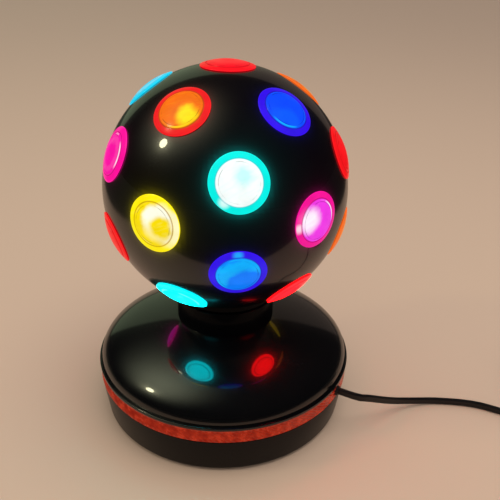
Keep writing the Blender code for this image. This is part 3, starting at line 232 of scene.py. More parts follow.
def coil_point(turns):
    """Point on the coil's spiral: in along the lower layer, up, and out along the upper."""
    angle = COIL_START_ANGLE + FULL_TURN * turns
    radius = COIL_INNER_RADIUS + COIL_PITCH * abs(turns - COIL_MIDDLE_TURNS)
    climb = min(1.0, max(0.0, (turns - COIL_TURNS_PER_LAYER) / COIL_CLIMB_TURNS))
    height = CORD_ROUTE[-1].z + COIL_PITCH * (1 - math.cos(math.pi * climb)) / 2
    return Vector((COIL_CENTRE.x, COIL_CENTRE.y, 0.0)) + radial_point(radius, angle, height)


def cord_path():
    """The cord's middle line: free from the base to the coil, round the coil, and out to the plug."""
    count = round(2 * COIL_MIDDLE_TURNS * COIL_POINTS_PER_TURN)
    spiral = [coil_point(2 * COIL_MIDDLE_TURNS * i / count) for i in range(count + 1)]
    heading = Vector((1.0, 0.0, 0.0))
    exit_point = radial_point(CORD_EXIT_RADIUS, CORD_AZIMUTH, CORD_EXIT_HEIGHT)
    leaving = radial_point(CORD_EXIT_RADIUS + CORD_WIDTH, CORD_AZIMUTH, CORD_EXIT_HEIGHT)
    meeting = spiral[0] - heading * CORD_WIDTH
    free = round_curve([exit_point, leaving, *CORD_ROUTE, meeting - heading * CORD_WIDTH, meeting], CORD_STEP)
    tail_steps = round(COIL_TAIL_LENGTH / CORD_STEP)
    tail = [spiral[-1] + heading * COIL_TAIL_LENGTH * i / tail_steps for i in range(1, tail_steps + 1)]
    return [*free, *spiral, *tail]


def twin_section():
    """Outline of the flat cord: two round lobes joined by a narrow web, wide side upright."""
    lobe_centre = CORD_WIDTH / 2 - CORD_LOBE_RADIUS
    half_web = math.radians(118)
    lobe_steps = 9
    upper = [half_web - 2 * half_web * i / lobe_steps for i in range(lobe_steps + 1)]
    outline = [(CORD_LOBE_RADIUS * math.sin(a), lobe_centre + CORD_LOBE_RADIUS * math.cos(a)) for a in upper]
    return outline + [(-x, -z) for x, z in outline]


def skinned(shape, rings):
    """Join rings of vertices into a closed tube with a cap at each end."""
    for near, far in zip(rings, rings[1:]):
        for k, corner in enumerate(near):
            following = (k + 1) % len(near)
            shape.faces.new((corner, near[following], far[following], far[k]))
    shape.faces.new(rings[0])
    shape.faces.new(reversed(rings[-1]))


def smooth(mesh, sharp_angle=35):
    """Smooth shading that stays crisp at edges sharper than the angle, in degrees."""
    mesh.shade_smooth()
    mesh.set_sharp_from_angle(angle=math.radians(sharp_angle))


def finished_mesh(shape, sharp_angle=35):
    """The shape as a smooth mesh whose faces point outwards."""
    bmesh.ops.recalc_face_normals(shape, faces=shape.faces)
    mesh = bpy.data.meshes.new("mesh")
    shape.to_mesh(mesh)
    shape.free()
    smooth(mesh, sharp_angle)
    return mesh


def swept_mesh(path, section):
    """A closed tube whose section follows the path, its upright axis kept near +Z."""
    shape = bmesh.new()
    rings = []
    for i, point in enumerate(path):
        forward = (path[min(i + 1, len(path) - 1)] - path[max(i - 1, 0)]).normalized()
        sideways = forward.cross(Vector((0.0, 0.0, 1.0))).normalized()
        upright = sideways.cross(forward)
        rings.append([shape.verts.new(point + sideways * x + upright * z) for x, z in section])
    skinned(shape, rings)
    return finished_mesh(shape)


vinyl, base = new_finish("cord_vinyl", srgb(16, 14, 15), 0.36)
grain = base.speckle(900.0)
dull = base.speckle(60.0)
feed(vinyl, "Roughness", 0.28 + 0.22 * dull)
feed(vinyl, "Base Color", dull.mix(srgb(11, 9, 10), srgb(24, 21, 22)))
feed(vinyl, "Normal", base.bump(grain, 0.25, 0.1 * MM))

cord_line = cord_path()
cord = add_piece("mains_cord", swept_mesh(cord_line, twin_section()), vinyl, "base",
                 ["cord", "cord_coil"])


# Mains plug
# Black two-blade plug moulded onto the end of the cord: a rounded grip with finger ribs on
# both sides, a ribbed nose that tapers to the cord, and two folded brass blades.
PLUG_START = cord_line[-1].x + 0.3 * MM
PLUG_AXIS_Y = cord_line[-1].y
PLUG_AXIS_HEIGHT = 8.4 * MM
PLUG_NOSE_LENGTH = 9.0 * MM
NOSE_RADIUS = 3.4 * MM
NOSE_FLARE = 1.2 * MM
NOSE_RIB_COUNT = 3
NOSE_RIB_DEPTH = 0.18 * MM
NOSE_CORNER_SHARE = 0.98
PLUG_LENGTH = 22.0 * MM
PLUG_WIDTH = 24.0 * MM
PLUG_HEIGHT = 16.8 * MM
PLUG_ROUND = 3.0 * MM
PLUG_TAIL_ROUND = 1.2 * MM
GRIP_RIB_COUNT = 5
GRIP_RIB_PITCH = 2.6 * MM
GRIP_RIB_DEPTH = 0.5 * MM
GRIP_RIB_SHARE = 0.7
BLADE_SPACING = 12.7 * MM
BLADE_LENGTH = 17.0 * MM
BLADE_WIDTH = 6.3 * MM
BLADE_THICKNESS = 1.5 * MM
BLADE_GAP = 0.3 * MM
BLADE_HOLE_RADIUS = 1.6 * MM
BLADE_HOLE_PLACE = BLADE_LENGTH - 4.2 * MM
BLADE_TIP_LENGTH = 2.4 * MM
BLADE_TIP_SHARE = 0.55


def rounded_ring(shape, x, half_width, half_height, corner):
    """A ring of vertices round a rounded rectangle in the plane at x, centred on the plug's axis."""
    corner_steps = 6
    ring = []
    for quadrant, (side, rise) in enumerate(((1, 1), (-1, 1), (-1, -1), (1, -1))):
        for i in range(corner_steps + 1):
            angle = math.pi / 2 * (quadrant + i / corner_steps)
            y = side * (half_width - corner) + corner * math.cos(angle)
            z = rise * (half_height - corner) + corner * math.sin(angle)
            ring.append(shape.verts.new((x, PLUG_AXIS_Y + y, PLUG_AXIS_HEIGHT + z)))
    return ring


def rounded_end(end, size):
    """Sections inwards from one end of the grip. The size of its round is negative at the far end."""
    steps = 6
    sections = []
    for i in range(steps + 1):
        angle = math.pi / 2 * i / steps
        inset = abs(size) * (1 - math.sin(angle))
        sections.append((end + size * (1 - math.cos(angle)), PLUG_WIDTH / 2 - inset,
                         PLUG_HEIGHT / 2 - inset, PLUG_ROUND))
    return sections


def plug_sections():
    """Nose with three soft ribs, then the grip with finger ribs in its wide sides."""
    body_start = PLUG_START + PLUG_NOSE_LENGTH
    sections = []
    nose_steps = 18
    for i in range(nose_steps + 1):
        t = i / nose_steps
        radius = NOSE_RADIUS + NOSE_FLARE * t + NOSE_RIB_DEPTH * math.cos(FULL_TURN * NOSE_RIB_COUNT * t)
        sections.append((PLUG_START + PLUG_NOSE_LENGTH * t, radius, radius, NOSE_CORNER_SHARE * radius))
    sections += rounded_end(body_start, PLUG_ROUND)
    rib_start = body_start + (PLUG_LENGTH - (GRIP_RIB_COUNT - 1) * GRIP_RIB_PITCH) / 2
    rib_steps = 8
    for rib in range(GRIP_RIB_COUNT):
        for i in range(rib_steps + 1):
            across = i / rib_steps - 0.5
            depth = GRIP_RIB_DEPTH * (1 + math.cos(FULL_TURN * across)) / 2
            x = rib_start + rib * GRIP_RIB_PITCH + across * GRIP_RIB_SHARE * GRIP_RIB_PITCH
            sections.append((x, PLUG_WIDTH / 2 - depth, PLUG_HEIGHT / 2, PLUG_ROUND))
    return sections + rounded_end(body_start + PLUG_LENGTH, -PLUG_TAIL_ROUND)[::-1]


plug_vinyl, base = new_finish("plug_vinyl", srgb(20, 19, 20), 0.42)
grain = base.speckle(1400.0)
feed(plug_vinyl, "Roughness", 0.36 + 0.16 * grain)
feed(plug_vinyl, "Normal", base.bump(grain, 0.3, 0.08 * MM))
plug_shape = bmesh.new()
skinned(plug_shape, [rounded_ring(plug_shape, *section) for section in plug_sections()])
plug = add_piece("plug_grip", finished_mesh(plug_shape), plug_vinyl, "base", ["plug_body"])

brass, base = new_finish("bright_brass", srgb(206, 172, 104), 0.24, {"Metallic": 1.0})
scuff = base.speckle(260.0, 4.0)
feed(brass, "Roughness", 0.16 + 0.2 * scuff)
feed(brass, "Base Color", scuff.mix(srgb(190, 152, 86), srgb(222, 190, 122)))


def blade_mesh(side):
    """Folded brass blade with a narrowed tip and a round hole near it."""
    start = PLUG_START + PLUG_NOSE_LENGTH + PLUG_LENGTH + BLADE_GAP
    shoulder = BLADE_LENGTH - BLADE_TIP_LENGTH
    outline = [(0.0, -1), (shoulder, -1), (BLADE_LENGTH, -BLADE_TIP_SHARE), (BLADE_LENGTH, BLADE_TIP_SHARE),
               (shoulder, 1), (0.0, 1)]
    outline = [(x, z * BLADE_WIDTH / 2) for x, z in outline]
    hole_sides = 24
    hole = [radial_point(BLADE_HOLE_RADIUS, FULL_TURN * i / hole_sides) for i in range(hole_sides)]
    shape = bmesh.new()
    edges = []
    for loop in (outline, [(BLADE_HOLE_PLACE + point.x, point.y) for point in hole]):
        verts = [shape.verts.new((start + x, 0.0, PLUG_AXIS_HEIGHT + z)) for x, z in loop]
        edges += [shape.edges.new((a, b)) for a, b in zip(verts, verts[1:] + verts[:1])]
    bmesh.ops.triangle_fill(shape, use_beauty=True, edges=edges)
    grown = bmesh.ops.extrude_face_region(shape, geom=list(shape.faces))
    moved = [part for part in grown["geom"] if isinstance(part, bmesh.types.BMVert)]
    bmesh.ops.translate(shape, verts=moved, vec=(0.0, BLADE_THICKNESS, 0.0))
    middle = PLUG_AXIS_Y + side * BLADE_SPACING / 2
    bmesh.ops.translate(shape, verts=shape.verts, vec=(0.0, middle - BLADE_THICKNESS / 2, 0.0))
    return finished_mesh(shape, 20)


for number, side in ((1, -1), (2, 1)):
    add_piece(f"brass_blade_{number}", blade_mesh(side), brass, "base",
                            [f"plug_blade_{number}"])


# Strain relief
# Black rubber sleeve moulded round the cord where it passes the wall: a short collar outside,
# a flange in the wall's seat and a tapered tail inside.
def mottled_finish(name, dark, light, roughness, grain_scale, grain_depth):
    """A plain moulded surface: slow clouds of colour and sheen over a fine grain."""
    material, base = new_finish(name, light, roughness)
    cloud = base.speckle(70.0, 3.0)
    grain = base.speckle(grain_scale)
    feed(material, "Base Color", cloud.mix(dark, light))
    feed(material, "Roughness", roughness - 0.08 + 0.14 * cloud + 0.06 * grain)
    feed(material, "Normal", base.bump(grain, 0.3, grain_depth))
    return material


def finish_nodes(material, *names):
    """Give CAD nodes whose shape is right their finish."""
    for name in names:
        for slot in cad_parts[name].material_slots:
            slot.material = material


relief_rubber = mottled_finish("relief_rubber", srgb(13, 13, 14), srgb(30, 28, 29), 0.5, 1300.0, 0.08 * MM)
finish_nodes(relief_rubber, "strain_relief")


# Floor and light
# Plain warm pale table, one small lamp high on the left whose picture shows on the gloss, and a
# large soft light above. The room is dim, with a paler wall behind the lamp and a glow high up.
FLOOR_REACH = 9.0
TABLE_COLOUR = srgb(200, 172, 149)
TABLE_MIRRORED = srgb(158, 132, 112)
ROOM_MIRRORED = srgb(28, 25, 24)
TABLE_FRONT_EDGE = (-0.19, -0.17)
TABLE_SIDE_EDGE = (0.36, 0.46)
floor_mesh = bpy.data.meshes.new("floor")
floor_corners = [(x * FLOOR_REACH, y * FLOOR_REACH, 0.0) for x, y in ((-1, -1), (1, -1), (1, 1), (-1, 1))]
floor_mesh.from_pydata(floor_corners, [], [(0, 1, 2, 3)])
floor_finish, base = new_finish("pale_table", TABLE_COLOUR, 0.5)
aside, behind, _ = base.place().axes()
near = behind.step(*TABLE_FRONT_EDGE) * (1.0 - base.sum_of("ABSOLUTE", aside).step(*TABLE_SIDE_EDGE))
mirrored = base.node("ShaderNodeLightPath", output=3)
feed(floor_finish, "Base Color", mirrored.mix(TABLE_COLOUR, near.mix(ROOM_MIRRORED, TABLE_MIRRORED)))
floor_mesh.materials.append(floor_finish)
floor = new_object("floor", floor_mesh)


def add_light(name, place, aim, size, power, colour, mirrored=True):
    """A round area light that faces its aim, and shows in the gloss only where it is mirrored."""
    data = bpy.data.lights.new(name, "AREA")
    data.shape = "DISK"
    data.size = size
    data.energy = power
    data.color = colour
    lamp = new_object(name, data)
    turn = (Vector(place) - Vector(aim)).to_track_quat("Z", "Y").to_matrix().to_4x4()
    lamp.matrix_world = Matrix.Translation(place) @ turn
    lamp.visible_glossy = mirrored


BALL_CENTRE = Vector((0.0, 0.0, 156.6)) * MM
add_light("key", place=(-1.282, -0.246, 1.18), aim=BALL_CENTRE, size=0.2, power=2.4, colour=(1.0, 0.95, 0.6))
add_light("top", place=(0.3, -0.2, 1.6), aim=(0.0, 0.0, 0.1), size=1.2, power=10.0,
          colour=(1.0, 0.97, 0.94), mirrored=False)

WALL_EDGE = (0.755, 0.785)
WALL_BLEND = (-0.3, 0.3)
GLOW_DIRECTION = (-0.55, 0.02, 0.835)
GLOW_COLOUR = (1.35, 1.42, 0.95, 1.0)
GLOW_FOCUS = 16.0
world = bpy.data.worlds.new("room")
world.use_nodes = True
bpy.context.scene.world = world
room = Value(world.node_tree)
facing = room.node("ShaderNodeTexCoord")
across, back, height = facing.axes()
dim = height.step(0.0, 0.5).mix(srgb(18, 17, 17), srgb(8, 8, 8))
wall = across.step(*WALL_BLEND).mix(srgb(122, 136, 108), srgb(96, 84, 76))
seen = back.step(*WALL_EDGE).mix(dim, wall)
toward_glow = room.node("ShaderNodeVectorMath", {"operation": "DOT_PRODUCT"},
                        {0: facing, 1: GLOW_DIRECTION}, 1)
seen = (room.sum_of("MAXIMUM", toward_glow, 0.0) ** GLOW_FOCUS).mix(seen, GLOW_COLOUR, "ADD")
given = height.step(-0.2, 1.0).mix((0.55, 0.52, 0.5, 1.0), (0.8, 0.78, 0.76, 1.0))
shown = room.node("ShaderNodeLightPath", output=3).mix(given, seen)
room.tree.links.new(shown.socket, room.tree.nodes["Background"].inputs["Color"])


# Base housing
# Glossy black moulded tray under the band, with three screw posts, a pad for the lamp stem
# and seats for the rubber feet. The walls lean out a little towards the band.
BASE_SEGMENTS = 180
HOUSING_POST_CIRCLE = 42.0 * MM
HOUSING_POST_ANGLES = [math.radians(angle) for angle in (-90, 30, 150)]
HOUSING_POSTS = [radial_point(HOUSING_POST_CIRCLE, angle) for angle in HOUSING_POST_ANGLES]
FOOT_CIRCLE = 66.0 * MM
FOOT_ANGLES = [math.radians(angle) for angle in (45, 135, 225, 315)]
POST = (5.4, 2.7, 23.7)
POST_BORE = (1.9, 12.0, 26.0)
POST_HEAD_BORE = (4.1, -1.0, 14.0)
FOOT_SEAT = (6.3, -1.0, 2.9)
RELIEF_HOLE = (3.7, 78.0, 92.0)


def filleted(corners, steps=5):
    """An outline in metres from corners (x, z, round) in millimetres, each corner rounded."""
    count = len(corners)
    points = []
    for i, (x, z, radius) in enumerate(corners):
        here = Vector((x, z))
        if not radius:
            points.append(tuple(here * MM))
            continue
        back = Vector(corners[i - 1][:2]) - here
        ahead = Vector(corners[(i + 1) % count][:2]) - here
        half = back.angle(ahead) / 2
        run = radius / math.tan(half)
        start = here + back.normalized() * run
        end = here + ahead.normalized() * run
        centre = here + (back.normalized() + ahead.normalized()).normalized() * radius / math.sin(half)
        for k in range(steps + 1):
            chord = (start - centre).slerp(end - centre, k / steps)
            points.append(tuple((centre + chord.normalized() * radius) * MM))
    return points


def turned_mesh(outline, segments, closed=True):
    """Turn an outline (radius, height) about Z. A point at radius 0 becomes a single pole."""
    shape = bmesh.new()
    rows = []
    for radius, height in outline:
        if radius < 0.0001 * MM:
            rows.append([shape.verts.new((0.0, 0.0, height))] * segments)
        else:
            rows.append([shape.verts.new(radial_point(radius, FULL_TURN * i / segments, height))
                         for i in range(segments)])
    pairs = list(zip(rows, rows[1:])) + ([(rows[-1], rows[0])] if closed else [])
    for upper, lower in pairs:
        for i in range(segments):
            following = (i + 1) % segments
            corners = list(dict.fromkeys([upper[i], lower[i], lower[following], upper[following]]))
            if len(corners) > 2:
                shape.faces.new(corners)
    return finished_mesh(shape)


def tool_cylinder(form, place, direction=(0.0, 0.0, 1.0), sides=48):
    """A closed cylinder to cut or join. Its form is a radius, a bottom and a top, in millimetres."""
    radius, bottom, top = (length * MM for length in form)
    mesh = turned_mesh([(0.0, top), (radius, top), (radius, bottom), (0.0, bottom)], sides, closed=False)
    turn = Vector(direction).to_track_quat("Z", "Y").to_matrix().to_4x4()
    mesh.transform(Matrix.Translation(place) @ turn)
    return mesh


def tool_cylinders(form, places):
    return [tool_cylinder(form, place) for place in places]


def cord_cylinder(form, sides):
    """A closed cylinder along the cord where it passes the base's wall."""
    return tool_cylinder(form, (0.0, 0.0, CORD_EXIT_HEIGHT), radial_point(1.0, CORD_AZIMUTH), sides)


def joined(meshes):
    """One mesh object of several meshes."""
    shape = bmesh.new()
    for mesh in meshes:
        shape.from_mesh(mesh)
        bpy.data.meshes.remove(mesh)
    mesh = bpy.data.meshes.new("tools")
    shape.to_mesh(mesh)
    shape.free()
    return new_object("tools", mesh)


def carved(mesh, additions=(), cuts=()):
    """The mesh with the added forms joined to it and the cut forms taken out of it."""
    work = new_object("work", mesh)
    tools = []
    for operation, forms in (("UNION", additions), ("DIFFERENCE", cuts)):
        if forms:
            tools.append(joined(forms))
            change = work.modifiers.new(operation, "BOOLEAN")
            change.operation = operation
            change.object = tools[-1]
            change.solver = "EXACT"
    graph = bpy.context.evaluated_depsgraph_get()
    result = bpy.data.meshes.new_from_object(work.evaluated_get(graph))
    for old in (work, *tools):
        bpy.data.objects.remove(old)
    return result


def black_finish(name, sheen, coat, others=None):
    """Smooth black moulding: a hard gloss over a broader sheen, a faint swell and fine handling haze."""
    material, base = new_finish(name, srgb(4, 4, 6), 0.24, {
        "Specular IOR Level": sheen, "Coat Weight": coat, "Coat Roughness": 0.035, **(others or {})})
    cloud = base.speckle(38.0, 3.0)
    dust = base.speckle(1500.0, 1.0)
    swell = base.speckle(90.0, 1.0)
    feed(material, "Base Color", cloud.mix(srgb(2, 2, 4), srgb(8, 8, 9)))
    feed(material, "Roughness", 0.18 + 0.08 * cloud + 0.06 * dust)
    feed(material, "Normal", base.bump(swell, 0.06, 0.4 * MM))
    return material


housing_black = black_finish("housing_black", 0.1, 0.4)

housing_outline = filleted([
    (84.2, 35.6, 0.3), (84.2, 26.6, 0), (85.8, 26.6, 0.5), (82.6, 1.5, 2.4), (0, 1.5, 0), (0, 5.7, 0),
    (19, 5.7, 0.4), (19, 3.9, 0.4), (78.2, 3.9, 2.0), (81.8, 15.25, 4.0), (81.8, 35.6, 0.3),
])
housing_cuts = [cord_cylinder(RELIEF_HOLE, 32)]
housing_cuts += tool_cylinders(POST_BORE, HOUSING_POSTS) + tool_cylinders(POST_HEAD_BORE, HOUSING_POSTS)
housing_cuts += tool_cylinders(FOOT_SEAT, [radial_point(FOOT_CIRCLE, angle) for angle in FOOT_ANGLES])
housing_mesh = carved(turned_mesh(housing_outline, BASE_SEGMENTS), tool_cylinders(POST, HOUSING_POSTS),
                      housing_cuts)
smooth(housing_mesh)
add_piece("housing", housing_mesh, housing_black, "base", ["base_housing"])


# Prismatic band
# Translucent red plastic ring in the recess above the housing, moulded all over its outside
# with small pyramids that catch the light.
BAND_BOTTOM = 26.9 * MM
BAND_HEIGHT = 8.7 * MM
BAND_OUTER_RADIUS = 85.9 * MM
BAND_INNER_RADIUS = 84.5 * MM
PRISM_COLUMNS = 300
PRISM_ROWS = 8
PRISM_DEPTH = 0.5 * MM


def geometry_tree(name, inputs):
    """A Geometry Nodes tree with a mesh output and named inputs, as (tree, start value, input values)."""
    tree = bpy.data.node_groups.new(name, "GeometryNodeTree")
    tree.interface.new_socket("Geometry", in_out="OUTPUT", socket_type="NodeSocketGeometry")
    for label, kind in inputs.items():
        tree.interface.new_socket(label, in_out="INPUT", socket_type="NodeSocket" + kind)
    start = tree.nodes.new("NodeGroupInput")
    values = {label: Value(tree, start.outputs[label]) for label in inputs}
    return tree, Value(tree), values


def baked_tree(tree, settings, points=()):
    """The mesh that a tree makes with these named settings, from these points."""
    given = bpy.data.meshes.new("points")
    given.from_pydata(points, [], [])
    work = new_object("work", given)
    change = work.modifiers.new(tree.name, "NODES")
    change.node_group = tree
    for item in tree.interface.items_tree:
        if item.in_out == "INPUT" and item.name in settings:
            change[item.identifier] = settings[item.name]
    graph = bpy.context.evaluated_depsgraph_get()
    mesh = bpy.data.meshes.new_from_object(work.evaluated_get(graph))
    bpy.data.objects.remove(work)
    return mesh


def close_output(start, geometry, material):
    """End a tree in Realize Instances and Set Material."""
    real = start.node("GeometryNodeRealizeInstances", {}, {"Geometry": geometry})
    done = start.node("GeometryNodeSetMaterial", {}, {"Geometry": real, "Material": material})
    end = start.tree.nodes.new("NodeGroupOutput")
    start.tree.links.new(done.socket, end.inputs["Geometry"])


def prism_band_tree():
    """A grid wrapped into a closed ring, its outside rows pushed in and out like a chequerboard."""
    tree, start, size = geometry_tree("prism_band", {
        "Columns": "Int", "Rows": "Int", "Outer Radius": "Float", "Inner Radius": "Float",
        "Bottom": "Float", "Height": "Float", "Prism Depth": "Float", "Material": "Material",
    })
    grid = start.node("GeometryNodeMeshGrid", {}, {
        "Size X": 1.0, "Size Y": 1.0, "Vertices X": size["Columns"] + 1, "Vertices Y": size["Rows"] + 4})
    x, y, _ = start.node("GeometryNodeInputPosition").axes()
    across = x + 0.5
    row = start.sum_of("ROUND", (y + 0.5) * (size["Rows"] + 3))
    column = start.sum_of("ROUND", across * size["Columns"])
    angle = across * FULL_TURN
    outside = start.sum_of("GREATER_THAN", row, 0.5) * start.sum_of("LESS_THAN", row, size["Rows"] + 1.5)
    share = start.node("ShaderNodeClamp", {}, {"Value": (row - 1) / size["Rows"], "Min": 0.0, "Max": 1.0})
    wrapped = start.sum_of("LESS_THAN", row, size["Rows"] + 2.5)
    fall = share * wrapped
    edge = start.sum_of("COMPARE", row, 1.0, 0.1) + start.sum_of("COMPARE", row, size["Rows"] + 1, 0.1)
    odd = start.sum_of("MODULO", row + column, 2.0)
    dent = size["Prism Depth"] * odd * (1 - edge)
    radius = size["Inner Radius"] + outside * (size["Outer Radius"] - size["Inner Radius"] - dent)
    wanted = start.vector(radius * start.sum_of("COSINE", angle), radius * start.sum_of("SINE", angle),
                          size["Bottom"] + size["Height"] * (1 - fall))
    moved = start.node("GeometryNodeSetPosition", {}, {"Geometry": grid, "Position": wanted})
    whole = start.node("GeometryNodeMergeByDistance", {}, {"Geometry": moved, "Distance": 0.01 * MM})
    close_output(start, whole, size["Material"])
    return tree


def cleaned(mesh):
    """The same mesh with its doubles merged and its faces turned outwards."""
    shape = bmesh.new()
    shape.from_mesh(mesh)
    bmesh.ops.remove_doubles(shape, verts=shape.verts, dist=0.001 * MM)
    bmesh.ops.recalc_face_normals(shape, faces=shape.faces)
    shape.to_mesh(mesh)
    shape.free()
    return mesh


band_red, base = new_finish("red_prismatic_plastic", srgb(190, 44, 26), 0.22, {
    "Coat Weight": 0.6, "Coat Roughness": 0.05, "Emission Strength": 1.0})
patch = base.speckle(210.0, 3.0)
feed(band_red, "Base Color", patch.step(0.3, 0.75).mix(srgb(126, 18, 6), srgb(176, 46, 20)))
feed(band_red, "Roughness", 0.16 + 0.2 * patch)
# Painted glow: the band's emission, stronger in some patches, stands in for light that the prisms catch and
# pass.
feed(band_red, "Emission Color", patch.step(0.2, 0.8).mix(srgb(86, 14, 3), srgb(116, 28, 8)))

band_mesh = cleaned(baked_tree(prism_band_tree(), {
    "Columns": PRISM_COLUMNS, "Rows": PRISM_ROWS, "Outer Radius": BAND_OUTER_RADIUS,
    "Inner Radius": BAND_INNER_RADIUS, "Bottom": BAND_BOTTOM, "Height": BAND_HEIGHT,
    "Prism Depth": PRISM_DEPTH, "Material": band_red,
}))
band_mesh = carved(band_mesh, cuts=[cord_cylinder(RELIEF_HOLE, 32)])
add_piece("prismatic_band", band_mesh, band_red, "base", ["base_band"])


# Motor and pinion
# Flat round geared motor in a drawn zinc-plated can, hung by its ear plate from two bosses
# under the dome. A moulded nylon pinion sits on its shaft, beside the can's middle.
MOTOR_CENTRE_Y = 31.2 * MM
MOTOR_SCREW_CIRCLE = 26.0 * MM
MOTOR_SCREW_SEAT = 47.4 * MM


def drawn_steel(name, centre_y):
    """Zinc-plated sheet with the fine rings that drawing and turning leave round a centre."""
    material, base = new_finish(name, srgb(190, 191, 188), 0.3, {"Metallic": 1.0})
    centred = base.node("ShaderNodeMapping", {}, {"Vector": base.place(), "Location": (0.0, -centre_y, 0.0)})
    rings = base.node("ShaderNodeTexWave", {"wave_type": "RINGS", "rings_direction": "Z"}, {
        "Vector": centred, "Scale": 260.0, "Distortion": 1.5, "Detail": 2.0}, 1)
    stain = base.speckle(120.0, 4.0)
    feed(material, "Base Color", stain.mix(srgb(158, 158, 152), srgb(214, 214, 210)))
    feed(material, "Roughness", 0.2 + 0.12 * rings + 0.16 * stain)
    feed(material, "Normal", base.bump(rings, 0.15, 0.05 * MM))
    return material


def spangled_steel():
    """Galvanised sheet with a pattern of zinc crystals."""
    material, base = new_finish("galvanised_plate", srgb(176, 180, 182), 0.36, {"Metallic": 1.0})
    crystal = base.node("ShaderNodeTexVoronoi", {}, {"Vector": base.place(), "Scale": 420.0}, 1)
    feed(material, "Base Color", crystal.mix(srgb(150, 155, 158), srgb(204, 207, 208)))
    feed(material, "Roughness", 0.26 + 0.2 * crystal)
    return material


def screw_tree():
    """Cross-recessed pan-head screws at the given points, each shank down from its seat before the turn."""
    tree, start, size = geometry_tree("screws", {
        "Places": "Geometry", "Head Radius": "Float", "Head Height": "Float", "Shank Radius": "Float",
        "Shank Length": "Float", "Thread Pitch": "Float", "Turn": "Vector", "Material": "Material",
    })
    x, y, z = start.node("GeometryNodeInputPosition").axes()
    half_head = size["Head Height"] * 0.5
    half_shank = size["Shank Length"] * 0.5

    def cylinder(sides, rows, width, depth):
        return start.node("GeometryNodeMeshCylinder", {"fill_type": "TRIANGLE_FAN"}, {
            "Vertices": sides, "Side Segments": rows, "Fill Segments": 6, "Radius": width, "Depth": depth})

    def pushed(shape, **offset):
        return start.node("GeometryNodeSetPosition", {}, {
            "Geometry": shape, "Offset": start.vector(**offset)})

    def lifted(shape, height, turn=(0.0, 0.0, 0.0)):
        return start.node("GeometryNodeTransform", {}, {
            "Geometry": shape, "Translation": start.vector(z=height), "Rotation": turn})

    def united(*shapes):
        whole = start.node("GeometryNodeMeshBoolean", {"operation": "UNION"})
        for shape in shapes:
            tree.links.new(shape.socket, whole.socket.node.inputs["Mesh 2"])
        return whole

    outward = ((x * x + y * y) ** 0.5 / size["Head Radius"]) ** 4.0
    crown = -0.4 * size["Head Height"] * start.sum_of("GREATER_THAN", z, 0.0) * outward
    head = pushed(cylinder(32, 1, size["Head Radius"], size["Head Height"]), z=crown)
    slot = (size["Head Radius"] * 1.15, size["Head Radius"] * 0.24)
    bars = [start.node("GeometryNodeMeshCube", {}, {"Size": start.vector(*across, size["Head Height"] * 1.2)})
            for across in (slot, slot[::-1])]
    cut = start.node("GeometryNodeMeshBoolean", {"operation": "DIFFERENCE"}, {
        "Mesh 1": head, "Mesh 2": lifted(united(*bars), half_head)})

    turns = z / size["Thread Pitch"] + start.sum_of("ARCTAN2", y, x) / FULL_TURN
    flank = start.sum_of("ABSOLUTE", 2.0 * start.sum_of("FRACT", turns) - 1.0)
    tip = (-z).step(half_shank - 1.6 * MM, half_shank + 0.4 * MM)
    shrink = -0.22 * flank - 0.45 * tip
    rows = start.sum_of("ROUND", size["Shank Length"] / size["Thread Pitch"] * 4.0)
    shank = pushed(cylinder(16, rows, size["Shank Radius"], size["Shank Length"]), x=x * shrink, y=y * shrink)
    whole = united(lifted(cut, half_head), lifted(shank, 0.1 * MM - half_shank))
    placed = start.node("GeometryNodeInstanceOnPoints", {}, {
        "Points": size["Places"], "Instance": lifted(whole, 0.0, size["Turn"])})
    close_output(start, placed, size["Material"])
    return tree


SCREWS = screw_tree()
POINTS_UP = (math.pi, 0.0, 0.0)
POINTS_DOWN = (0.0, 0.0, 0.0)


def add_screws(name, places, sizes, turn, nodes):
    """Screws on the base as one piece. Sizes in millimetres follow the tree's five lengths."""
    labels = ("Head Radius", "Head Height", "Shank Radius", "Shank Length", "Thread Pitch")
    settings = {label: length * MM for label, length in zip(labels, sizes)}
    mesh = baked_tree(SCREWS, {**settings, "Turn": turn, "Material": screw_zinc}, places)
    smooth(mesh)
    add_piece(name, mesh, screw_zinc, "base", nodes)


finish_nodes(drawn_steel("zinc_can", MOTOR_CENTRE_Y), "motor_can")
finish_nodes(spangled_steel(), "motor_plate")
screw_zinc = drawn_steel("screw_zinc", 0.0)
MOTOR_SCREWS = [(side * MOTOR_SCREW_CIRCLE, MOTOR_CENTRE_Y, MOTOR_SCREW_SEAT) for side in (-1, 1)]
add_screws("motor_screws", MOTOR_SCREWS, (2.6, 1.8, 1.3, 8.0, 0.8), POINTS_UP,
           ["motor_screw_1", "motor_screw_2"])
natural_nylon = mottled_finish("natural_nylon", srgb(206, 198, 176), srgb(228, 222, 206), 0.44, 900.0,
                               0.05 * MM)
finish_nodes(natural_nylon, "drive_pinion")


# Lamp stem, holder and bulb
# Black satin tube that stands on the housing's pad by its flange and two screws, and carries
# the nylon thrust washer, a white heat-proof holder and a clear bulb with a brass cap.
STEM_SCREW_OFFSET = 13.0 * MM
STEM_SCREW_SEAT = 8.9 * MM
satin_black = mottled_finish("satin_black", srgb(14, 14, 15), srgb(30, 30, 32), 0.42, 800.0, 0.1 * MM)
finish_nodes(satin_black, "lamp_stem")
stem_screws = [(side * STEM_SCREW_OFFSET, 0.0, STEM_SCREW_SEAT) for side in (-1, 1)]
add_screws("stem_screws", stem_screws, (2.8, 2.4, 1.5, 5.2, 0.9), POINTS_DOWN,
           ["stem_screw_1", "stem_screw_2"])
finish_nodes(natural_nylon, "thrust_washer")
white_moulding = mottled_finish("white_moulding", srgb(214, 211, 202), srgb(236, 234, 227), 0.24, 500.0,
                                0.06 * MM)
finish_nodes(white_moulding, "lamp_holder")
finish_nodes(brass, "bulb_cap")

